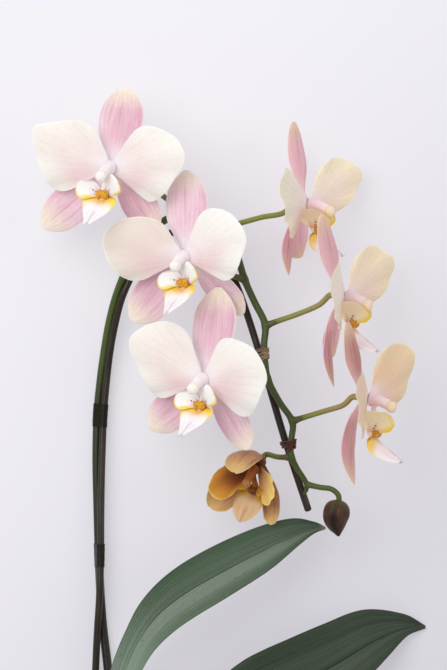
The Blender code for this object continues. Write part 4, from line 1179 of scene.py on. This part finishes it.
def tonguePoints(kind):
    along = unit(np.array(lipShape["tongueWay"]))
    out = np.array((0, along[2], -along[1]))
    length, turn = lipShape["tongueLength"], np.radians(lipShape["tongueBend"])
    rows, columns = lipShape["tongueGrid"]
    t, v = np.linspace(0, 1, rows)[:, None], np.linspace(-1, 1, columns)[None, :]
    width = lipShape["tongueHalf"] * kind["tongueSpread"] * smoothValue(kind["tongue"], t)
    x, z = length * np.sin(t * turn) / turn, length * (1 - np.cos(t * turn)) / turn
    dip = np.exp(-((t - lipShape["dipPlace"]) / lipShape["dipLength"])**2)
    lift = -kind["flank"] * width * v**2 - lipShape["tongueDip"] * dip * v**2
    lift = lift + lipShape["keel"] * np.exp(-(v / lipShape["keelWidth"])**2) * np.sin(np.pi * t)
    grid = x[..., None] * along + (width * v)[..., None] * np.array((1.0, 0, 0))
    return np.array(lipShape["tongueRoot"]) + grid + (z + lift)[..., None] * out


def bloomPlace(flower):
    yaw, pitch, roll = np.radians(flower["turn"])
    turn = Euler((0, yaw, 0)).to_matrix() @ Euler((pitch, 0, 0)).to_matrix()
    turn = turn @ Euler((0, 0, roll)).to_matrix()
    return Matrix.Translation(Vector(flower["hub"])) @ turn.to_4x4()


def hubBack(flower):
    # where the pedicel ends behind a bloom, and the way that the bloom looks
    yaw, pitch, _ = np.radians(flower["turn"])
    look = np.array((np.sin(yaw) * np.cos(pitch), -np.sin(pitch), np.cos(yaw) * np.cos(pitch)))
    back = bloomShape["sepalHubDepth"] - bloomShape["pedicelBehindHub"]
    return np.array(flower["hub"]) + back * look, look


for name, flower in blooms.items():
    kind, label = bloomKinds[flower["kind"]], name.replace("_bloom", "").replace("_", "")
    sepal, petal, lip, column = kind["finishes"]
    parts = {"Sepals": sepalMeshes(flower, kind, looks[sepal]),
             "Petals": petalMeshes(label, flower, kind, looks[petal]),
             "Lip": lipMeshes(flower, kind, lip, looks[column]),
             "Column": columnMeshes(flower, kind, looks[column])}
    for (part, meshes), slot in zip(parts.items(), kind["slots"]):
        settle(label + part, meshes, f"{name}_{part.lower()}", bloomPlace(flower))
    print(label, "made")


# Flower stem

stemShape = {
    "radii": [(0, 2.5), (0.53, 2.1), (0.9, 1.8), (1, 1.4)],
    "rings": 420, "pedicelRings": 48, "budPedicelRings": 40, "sides": 20,
    "pedicelRadius": 1.5, "pedicelApproach": 5.0,
    "flareBehindBloom": 0.3, "flareAtSpike": 0.35,
    "nodeSwelling": 0.35, "nodeLength": 2.2,
    "bractLength": 6.0, "bractWidth": 4.2, "bractThickness": 0.6, "bractGrid": (15, 13),
    "bractStart": 1.0, "bractTip": 0.25, "bractTaper": 0.6, "bractTone": 0.97,
    "bractLift": 1.3, "bractClasp": 1.1, "bractRise": 0.35,
    "tip": [0.98, 0.95, 0.9, 0.8, 0.62, 0.3],  # shares of the radius at the last points
    "path": [
        (-68.0, -171.0, 6.4), (-67.6, -157.0, 4.4), (-67.4, -143.0, 3.8), (-67.7, -132.0, 3.8),
        (-70.4, -108.9, 3.8), (-71.9, -88.0, 3.8), (-72.6, -69.9, 3.8), (-73.4, -44.0, 3.8),
        (-74.0, -16.5, 3.8), (-73.5, 7.7, 3.8), (-72.1, 24.0, 4.2), (-70.1, 39.6, 5.6),
        (-67.1, 57.8, 8.5), (-62.7, 74.8, 12.5), (-56.1, 90.8, 17.5), (-47.9, 104.5, 22.0),
        (-36.9, 115.0, 26.0), (-24.2, 119.3, 29.0), (-12.5, 116.5, 30.5), (-3.6, 108.5, 31.2),
        (3.5, 97.0, 32.0), (8.2, 82.5, 33.5), (13.5, 70.5, 35.5), (19.3, 58.3, 37.5),
        (18.8, 46.5, 39.0), (19.6, 35.0, 40.0), (21.2, 27.0, 40.5), (27.2, 15.5, 41.0),
        (34.3, 4.6, 41.5), (33.8, -5.5, 41.5), (33.6, -13.8, 41.2), (36.8, -21.0, 40.8),
        (42.2, -30.0, 40.0), (40.8, -36.0, 39.0)],
    # how green the spike is at shares of its length: 0 dark, 0.45 green, 0.6 light green
    "tones": [(0, 0.02), (0.2, 0.04), (0.3, 0.14), (0.37, 0.2), (0.44, 0.42), (0.55, 0.42),
              (0.75, 0.4), (1, 0.36)],
}
pedicelWays = {
    "bloom_1": [(-24.8, 119.9, 28.5), (-33.0, 126.0, 31.5), (-50.0, 138.0, 35.5)],
    "bloom_2": [(8.2, 82.5, 33.5), (-2.8, 86.5, 38.0), (-15.0, 92.0, 43.5)],
    "bloom_3": [(21.2, 28.6, 40.4), (10.5, 29.5, 44.5), (-3.5, 29.3, 51.0)],
    "bloom_4": [(-5.5, 110.5, 31.0), (5.5, 113.9, 31.4), (17.6, 117.2, 31.0), (29.2, 119.5, 29.6)],
    "bloom_5": [(19.3, 57.8, 37.6), (26.0, 59.8, 38.6), (38.0, 64.0, 40.6), (49.0, 68.8, 42.6)],
    "bloom_6": [(34.3, 4.8, 41.5), (41.0, 7.0, 43.6), (52.0, 10.4, 48.0), (62.0, 13.6, 52.6)],
    "opening_bloom": [(33.4, -14.8, 41.2), (26.5, -15.0, 37.2)],
}
# green at the spike, up to these shares of a pedicel, then the tone that it turns to at its bloom
pedicelGreens = {"shares": [0, 0.12, 0.5], "tones": [0.42, 0.52], "bud": 0.48}
pedicelTones = {"bloom_1": 0.6, "bloom_2": 0.6, "bloom_3": 0.55, "bloom_4": 0.66, "bloom_5": 0.72,
                "bloom_6": 0.78, "opening_bloom": 0.55}
budPedicel = [(42.2, -30.0, 40.0), (49.5, -31.6, 40.4), (55.5, -32.5, 40.8), (59.4, -35.5, 41.0),
              (60.2, -39.6, 40.6)]


def fading(count, power):
    # 1 at the first point, falling off to 0 at the last
    return np.linspace(1, 0, count)**power


def stemPieces():
    count, steps, budSteps = (stemShape[key] for key in ("rings", "pedicelRings", "budPedicelRings"))
    path = splineThrough(stemShape["path"], count)
    share = np.linspace(0, 1, count)
    radii = smoothValue(stemShape["radii"], share)
    run = np.concatenate([[0], np.cumsum(np.linalg.norm(np.diff(path, axis=0), axis=1))])
    paths, bracts = [], []
    for name, flower in blooms.items():
        node, *way = np.array(pedicelWays[name])
        at = np.linalg.norm(path - node, axis=1).argmin()
        radii = radii + stemShape["nodeSwelling"] * np.exp(-((run - run[at]) / stemShape["nodeLength"])**2)
        end, look = hubBack(flower)
        way = splineThrough([path[at], *way, end - stemShape["pedicelApproach"] * look, end], steps)
        flare = (1 + stemShape["flareBehindBloom"] * fading(steps, 8)[::-1]
                 + stemShape["flareAtSpike"] * fading(steps, 10))
        tone = np.interp(np.linspace(0, 1, steps), pedicelGreens["shares"],
                         [*pedicelGreens["tones"], pedicelTones[name]])
        paths.append((way, stemShape["pedicelRadius"] * flare, tone))
        along = unit(way[6] - way[0])
        bracts.append(bractMesh(path[at] + stemShape["bractStart"] * along, along))
    radii[-len(stemShape["tip"]):] *= stemShape["tip"]
    flare = 1 + stemShape["flareAtSpike"] * fading(budSteps, 8)
    paths.append((splineThrough(budPedicel, budSteps), stemShape["pedicelRadius"] * flare,
                  pedicelGreens["bud"]))
    paths.insert(0, (path, radii, np.interp(share, *zip(*stemShape["tones"]))))
    return [rodMesh(paths, looks["greenStem"], stemShape["sides"])] + bracts


def bractMesh(root, along):
    # a small scale that clasps the foot of a pedicel
    out = unit(np.array((0, 0, 1.0)) - along * along[2])
    across = unit(np.cross(along, out))
    rows, columns = stemShape["bractGrid"]
    t, v = np.linspace(0, 1, rows)[:, None], np.linspace(-1, 1, columns)[None, :]
    half = stemShape["bractWidth"] / 2 * (1 - t)**stemShape["bractTaper"] + stemShape["bractTip"]
    clasp = stemShape["bractClasp"] * (half * v)**2 / stemShape["bractWidth"]
    lift = stemShape["bractLift"] - clasp + stemShape["bractRise"] * t**2
    grid = (t * stemShape["bractLength"] + 0 * v)[..., None] * along
    grid = grid + (half * v)[..., None] * across + lift[..., None] * out
    return bladeMesh("bract", root + grid, stemShape["bractThickness"], looks["greenStem"],
                     stemShape["bractTone"])


settle("flowerStem", stemPieces(), "flower_stem")
print("stem made")


# Stake and ties

stakeShape = {
    "radius": 2.0, "rings": 300, "sides": 24,
    # the blunt end: how far beyond the path, and the share of the radius there
    "tip": [(0.35, 0.985), (0.7, 0.94), (1.0, 0.85), (1.25, 0.7), (1.4, 0.5), (1.5, 0.25)],
    # from the upper tie to the arch the stake lies a little over the spike
    "path": [
        (-76.5, -192.5, 2.35), (-75.6, -165.0, 2.6), (-74.7, -140.0, 4.6), (-73.6, -115.0, 7.4),
        (-72.2, -92.0, 8.7), (-71.6, -69.9, 8.7), (-71.5, -50.0, 8.5), (-71.2, -28.0, 7.9),
        (-70.6, -8.0, 7.0), (-70.0, 7.7, 6.5), (-68.6, 24.0, 6.9), (-66.6, 41.5, 8.5),
        (-63.5, 58.5, 11.2), (-58.9, 75.0, 15.1), (-50.6, 91.5, 15.6), (-41.8, 103.0, 19.0),
        (-30.8, 109.3, 22.0), (-18.7, 109.5, 24.0), (-8.6, 102.0, 25.3), (-0.6, 89.0, 27.0),
        (6.4, 72.6, 29.6), (15.4, 45.1, 33.8), (24.2, 15.1, 35.8), (31.0, -7.7, 36.3),
        (42.9, -43.5, 35.4)],
}


def stakeMeshes():
    path = splineThrough(stakeShape["path"], stakeShape["rings"])
    beyond, share = np.transpose(stakeShape["tip"])
    path = np.vstack([path, path[-1] + beyond[:, None] * unit(path[-1] - path[-2])])
    radii = np.concatenate([np.ones(stakeShape["rings"]), share]) * stakeShape["radius"]
    return [rodMesh([(path, radii, 0.0)], looks["darkStake"], stakeShape["sides"])]


legSearch = {"points": 900, "reach": 9}  # points on each rod, and how many to either side tell its way


def legsAt(place, right):
    # the way both rods run near a Y on one leg of the arch, and a cut square to it
    count, reach = legSearch["points"], legSearch["reach"]
    legs, centres, ways = [], [], []
    for points, radii in ((stemShape["path"], smoothValue(stemShape["radii"], np.linspace(0, 1, count))),
                          (stakeShape["path"], [stakeShape["radius"]] * count)):
        path = np.column_stack([splineThrough(points, count), radii])
        top = path[:, 1].argmax()
        leg = path[top:] if right else path[:top]
        k = np.abs(leg[:, 1] - place).argmin()
        legs.append(leg)
        centres.append(leg[k, :3])
        ways.append(unit(leg[k + reach, :3] - leg[k - reach, :3]))
    middle, way = (centres[0] + centres[1]) / 2, unit(ways[0] + ways[1])

    def cut(station):
        at = middle + way * station
        return [leg[np.abs((leg[:, :3] - at) @ way).argmin()] for leg in legs]

    return way, cut


def roundBoth(pair, way, angle, clearance):
    # a point that clears both rods, on the side of one or the other
    first, second = pair
    side = unit(second[:3] - first[:3] - way * way.dot(second[:3] - first[:3]))
    direction = np.cos(angle) * side + np.sin(angle) * np.cross(way, side)
    rod = first if np.cos(angle) < 0 else second
    return rod[:3] + (rod[3] + clearance) * direction


def bandMesh(shape):
    # a thin sleeve that hugs both rods, a little wrinkled
    way, cut = legsAt(shape["place"], False)
    sides = shape["sides"]
    angles = roundTurn(sides) + np.pi / sides
    inner, outer = [], []
    creaseHeight, creaseWaves = shape["creases"]
    foldHeight, foldWaves, folds = shape["folds"]
    for s in np.linspace(-0.5, 0.5, shape["stations"]):
        pair = cut(s * shape["length"])
        wrinkle = creaseHeight * np.sin(s * creaseWaves)
        wrinkle = wrinkle + foldHeight * np.sin(angles * folds + s * foldWaves)
        edge = shape["edge"] * (abs(s) > shape["edgeFrom"])
        inner.append([roundBoth(pair, way, a, shape["clearance"]) for a in angles])
        outer.append([roundBoth(pair, way, a, shape["clearance"] + shape["wall"] + w + edge)
                      for a, w in zip(angles, wrinkle)])
    rings = np.array(outer + inner[::-1] + outer[:1])
    return meshFrom("band", rings.reshape(-1, 3), gridFaces(len(rings), sides, closed=True),
                    looks["thinBand"], along=0.0, around=0.0, tone=0.0)


def raffiaMesh(shape):
    # fibres wound round the rods
    way, cut = legsAt(shape["place"], True)
    chance = np.random.default_rng(shape["seed"])
    height, waves = shape["waver"]
    strands = []
    for k in range(shape["strands"]):
        start = (k / (shape["strands"] - 1) - 0.5) * shape["spread"]
        lean, lift = chance.uniform(-shape["lean"], shape["lean"]), chance.uniform(0, shape["lift"])
        turn = (np.linspace(0, shape["turns"], shape["steps"]) + chance.uniform(0, 1)) * 2 * np.pi
        path = [roundBoth(cut(start + lean * np.sin(a)), way, a,
                          shape["clearance"] + lift + height * np.sin(a / (2 * np.pi) * waves + k))
                for a in turn]
        strands.append((splineThrough(path, shape["rings"]),
                        shape["radius"] * chance.uniform(*shape["thickness"]), chance.uniform(0, 1)))
    return rodMesh(strands, looks["raffiaFibre"], shape["sides"])


def woundMesh(shape):
    # one wire in close turns, its end left loose
    way, cut = legsAt(shape["place"], True)
    (height, waves), (share, swells) = shape["waver"], shape["uneven"]
    path = []
    for turn in np.linspace(0, shape["turns"], shape["steps"]):
        station = (turn - shape["turns"] / 2) * shape["pitch"]
        path.append(roundBoth(cut(station), way, turn * 2 * np.pi,
                              shape["clearance"] + shape["radius"] * (1 + height * np.sin(turn * waves))))
    path = splineThrough(path, shape["rings"])
    path = np.vstack([path, path[-1] + np.array(shape["tail"])])
    radii = shape["radius"] * (1 + share * np.sin(np.linspace(0, swells, len(path))))
    return rodMesh([(path, radii, 0.0)], looks["woundWire"], shape["sides"])


bandShape = {
    "length": 13.0, "wall": 0.2, "clearance": 0.1, "sides": 56, "stations": 27,
    "edge": 0.06, "edgeFrom": 0.46,  # how much thicker the rims are, and where they start
    "creases": (0.02, 31), "folds": (0.03, 17, 3),  # wrinkles: height, waves along, waves round
}
tieShapes = {
    "bandUpper": (bandMesh, "tie_band_upper", "band", {"place": 7.7, **bandShape}),
    "bandLower": (bandMesh, "tie_band_lower", "band", {"place": -69.9, **bandShape}),
    "raffiaTie": (raffiaMesh, "tie_raffia", "raffia", {
        "place": 41.3, "spread": 5.5, "strands": 15, "radius": 0.3, "clearance": 0.35, "seed": 4,
        "turns": 1.12, "lean": 0.7, "lift": 0.35, "waver": (0.12, 21), "thickness": (0.75, 1.2),
        "steps": 54, "rings": 90, "sides": 8}),
    "woundTie": (woundMesh, "tie_wound", "wire", {
        "place": -8.0, "turns": 3.6, "pitch": 1.35, "radius": 0.6, "clearance": 0.1,
        "waver": (0.12, 19), "uneven": (0.08, 60), "steps": 90, "rings": 220, "sides": 10,
        "tail": [(-0.3, -0.4, 0.5), (-0.9, -1.1, 0.6), (-1.2, -1.9, 0.2)]}),
}
settle("stake", stakeMeshes(), "stake")
for name, (make, node, slot, shape) in tieShapes.items():
    settle(name, [make(shape)], node)
print("stake and ties made")


# Leafy base, leaves and bud

leafShapes = {
    "leaf_1": {
        "midrib": [
            (-66.3, -171.8, 11.6), (-64.6, -160.0, 14.5), (-61.0, -144.0, 19.5),
            (-56.1, -129.0, 24.5), (-49.5, -115.5, 29.0), (-39.6, -102.3, 32.0),
            (-26.0, -91.3, 33.5), (-6.8, -80.0, 33.0), (17.1, -67.6, 30.0),
            (36.5, -58.6, 26.0), (46.0, -55.2, 23.5), (52.8, -54.4, 21.5)],
        "upper": [(0, 5.0), (0.1, 6.3), (0.22, 8.0), (0.33, 9.2), (0.42, 12.0), (0.52, 14.6),
                  (0.63, 15.4), (0.78, 14.0), (0.9, 10.4), (0.96, 4.8), (1, 0.7)],
        "lower": [(0, 5.0), (0.1, 6.3), (0.22, 8.0), (0.33, 10.0), (0.42, 12.4), (0.52, 13.6),
                  (0.63, 13.4), (0.78, 11.0), (0.9, 5.4), (0.96, 2.3), (1, 0.7)],
        "channel": 7.0, "tone": 0.0,
    },
    "leaf_2": {
        "midrib": [
            (-59.7, -176.9, 8.7), (-44.0, -173.0, 9.6), (-22.0, -166.0, 13.5),
            (0.0, -157.8, 17.5), (22.0, -148.5, 20.0), (42.9, -138.6, 20.0),
            (62.0, -128.0, 17.0), (79.8, -117.5, 11.5), (95.7, -111.0, 5.3),
            (108.4, -109.6, 1.17)],
        "upper": [(0, 3.6), (0.1, 6.0), (0.21, 12.0), (0.33, 19.5), (0.46, 25.6), (0.59, 25.6),
                  (0.72, 23.0), (0.83, 19.0), (0.93, 9.2), (0.97, 4.4), (1, 0.8)],
        "lower": [(0, 3.6), (0.1, 5.5), (0.21, 9.5), (0.33, 13.5), (0.46, 16.5), (0.59, 17.5),
                  (0.72, 16.0), (0.83, 11.5), (0.93, 4.4), (0.97, 2.2), (1, 0.8)],
        "channel": 8.0, "tone": 0.9,
    },
}
leafShape = {"midribThickness": 1.6, "edgeThickness": 0.8, "channelCurve": 1.3, "groove": 0.7,
             "grooveWidth": 0.05, "rows": 120, "columns": 44}


def leafMesh(name, leaf):
    t, v = np.linspace(0, 1, leafShape["rows"] + 1), np.linspace(-1, 1, leafShape["columns"] + 1)
    middle = splineThrough(leaf["midrib"], len(t))
    tangent = unit(np.gradient(middle, axis=0))
    across = unit(np.cross(tangent, (0, 0, 1.0)))
    out = np.cross(across, tangent)
    upper, lower = (smoothValue(leaf[side], t)[:, None] for side in ("upper", "lower"))
    half = np.where(v < 0, upper, lower)
    lift = leaf["channel"] * half / half.max() * np.abs(v)**leafShape["channelCurve"]
    groove = np.exp(-(v / leafShape["grooveWidth"])**2) * np.sin(np.pi * t)[:, None]**0.5
    lift = lift - leafShape["groove"] * groove
    grid = middle[:, None] + (half * v)[..., None] * across[:, None] + lift[..., None] * out[:, None]
    thickness = np.interp(np.abs(v), (0, 1), (leafShape["midribThickness"], leafShape["edgeThickness"]))
    return bladeMesh(name, grid, thickness, looks["strapLeaf"], leaf["tone"])


def crownMesh():
    # leaf bases that clasp each other, cut square at the foot
    count, sides = crownShape["rings"]
    rings = crownRings(count, sides)
    centre = rings.mean(1, keepdims=True)
    around, share = roundTurn(sides)[None, :], np.linspace(0, 1, count)[:, None]
    steps = 0
    for k in range(crownShape["sheaths"]):
        edge = np.sin(around - k * crownShape["sheathTurn"]) * crownShape["sheathSlant"]
        edge = edge + share * crownShape["sheathRise"] - crownShape["sheathDrop"]
        steps = np.maximum(steps, np.clip(edge, 0, 1) * (1 - k * crownShape["sheathInset"]))
    scale = crownShape["core"] + (1 - crownShape["core"]) * steps
    scale = scale - crownShape["ribHeight"] * np.cos(around * crownShape["ribs"])**2
    return ringMesh("crown", centre + (rings - centre) * scale[..., None], looks["leafBase"])


budShape = {
    "centre": (58.4, -48.4, 40.1), "tip": (59.8, -58.6, 39.6), "radius": 7.4, "start": -0.8,
    "radii": [(0, 0.3), (0.05, 0.6), (0.16, 0.88), (0.34, 1.0), (0.55, 0.92), (0.76, 0.62),
              (0.92, 0.26), (1, 0.08)],
    "seamDepth": 0.07, "seamWidth": 0.09, "rings": 60, "sides": 90,
}


def budMesh():
    tip, centre, foot = (np.array(p) for p in (budShape["tip"], budShape["centre"], budPedicel[-1]))
    start = foot + unit(centre - foot) * budShape["start"]
    count = budShape["rings"]
    radii = budShape["radius"] * smoothValue(budShape["radii"], np.linspace(0, 1, count))
    rings = ringsAlong(splineThrough([start, centre, tip], count), radii, budShape["sides"])
    middle = rings.mean(1, keepdims=True)
    direction = unit(rings - middle)
    # three seams, one of them on the near side
    angle = np.arctan2(direction[..., 0], direction[..., 2])
    seam = np.abs((angle / (2 * np.pi) * 3 + 0.5) % 1 - 0.5) / 3 * 2 * np.pi
    depth = budShape["seamDepth"] * np.exp(-(seam / budShape["seamWidth"])**2)
    return ringMesh("bud", middle + (rings - middle) * (1 - depth)[..., None], looks["brownBud"])


for name, leaf in leafShapes.items():
    settle(name.replace("_", ""), [leafMesh(name, leaf)], name)
settle("crown", [crownMesh()], "crown")
settle("bud", [budMesh()], "bud")
print("leaves, base and bud made")


# Table, light and camera

stageSet = {
    # near and far are painted light: the table lighter towards the window light and darker away from it
    "floorSize": 9.0, "near": (169, 168, 172), "far": (149, 147, 153), "glow": 1.25, "sky": 0.5,
    # each light: place, what it aims at, size and power
    "windowLight": ((-1.1, 1.0, 2.1), (0, 0.05, 0.03), 2.4, 40.0),
    "fillLight": ((1.9, 0.2, 1.5), (0.05, 0.05, 0.05), 1.6, 9.0),
}


def floorPaint(brush):
    # a pale table with painted light, its colour brighter towards the window light, that also glows a little
    # and so softens shadows
    tree = brush.tree
    cloud = noise(tree, objectPlace(tree), 2.0)
    axes = makeNode(tree, "ShaderNodeSeparateXYZ", {0: objectPlace(tree)})
    paintedLightFalloff = (Field(tree, axes.outputs[0]) - Field(tree, axes.outputs[1])).between(-0.3, 0.42)
    brush.start(paintedLightFalloff + cloud * 0.06, "near", "far")
    return 0.7 + cloud * 0.1, noise(tree, objectPlace(tree), 900.0), 0.02


finish("paleTable", floorPaint, stageSet, specular=0.2, glow=stageSet["glow"])
half = stageSet["floorSize"] / 2
corners = [(-half, -half, 0), (half, -half, 0), (half, half, 0), (-half, half, 0)]
floor = bpy.data.objects.new("floor", meshFrom("floor", corners, [(0, 1, 2, 3)], looks["paleTable"]))
bpy.context.collection.objects.link(floor)

world = bpy.data.worlds.new("softStudio")
world.use_nodes = True
sky = world.node_tree.nodes["Background"].inputs
sky["Color"].default_value = (1.0, 1.0, 1.0, 1)
sky["Strength"].default_value = stageSet["sky"]
bpy.context.scene.world = world
bpy.context.scene.view_settings.view_transform = "Standard"

for name in ("windowLight", "fillLight"):
    place, aim, size, power = stageSet[name]
    data = bpy.data.lights.new(name, "AREA")
    data.shape, data.size, data.energy = "DISK", size, power
    light = bpy.data.objects.new(name, data)
    light.location = place
    light.rotation_mode = "QUATERNION"
    light.rotation_quaternion = (Vector(aim) - Vector(place)).to_track_quat("-Z", "Y")
    bpy.context.collection.objects.link(light)

lens = bpy.data.cameras.new("camera")
middle = (toRow @ Vector(picture["middle"])) * metre
tall = picture["pixels"][1] * picture["millimetresPerPixel"] * metre
lens.sensor_width = picture["sensor"]
lens.lens = lens.sensor_width * picture["distance"] / tall
lens.clip_start, lens.clip_end = picture["clip"]
camera = bpy.data.objects.new("camera", lens)
camera.location = (middle.x, middle.y, middle.z + picture["distance"])
bpy.context.collection.objects.link(camera)
bpy.context.scene.camera = camera
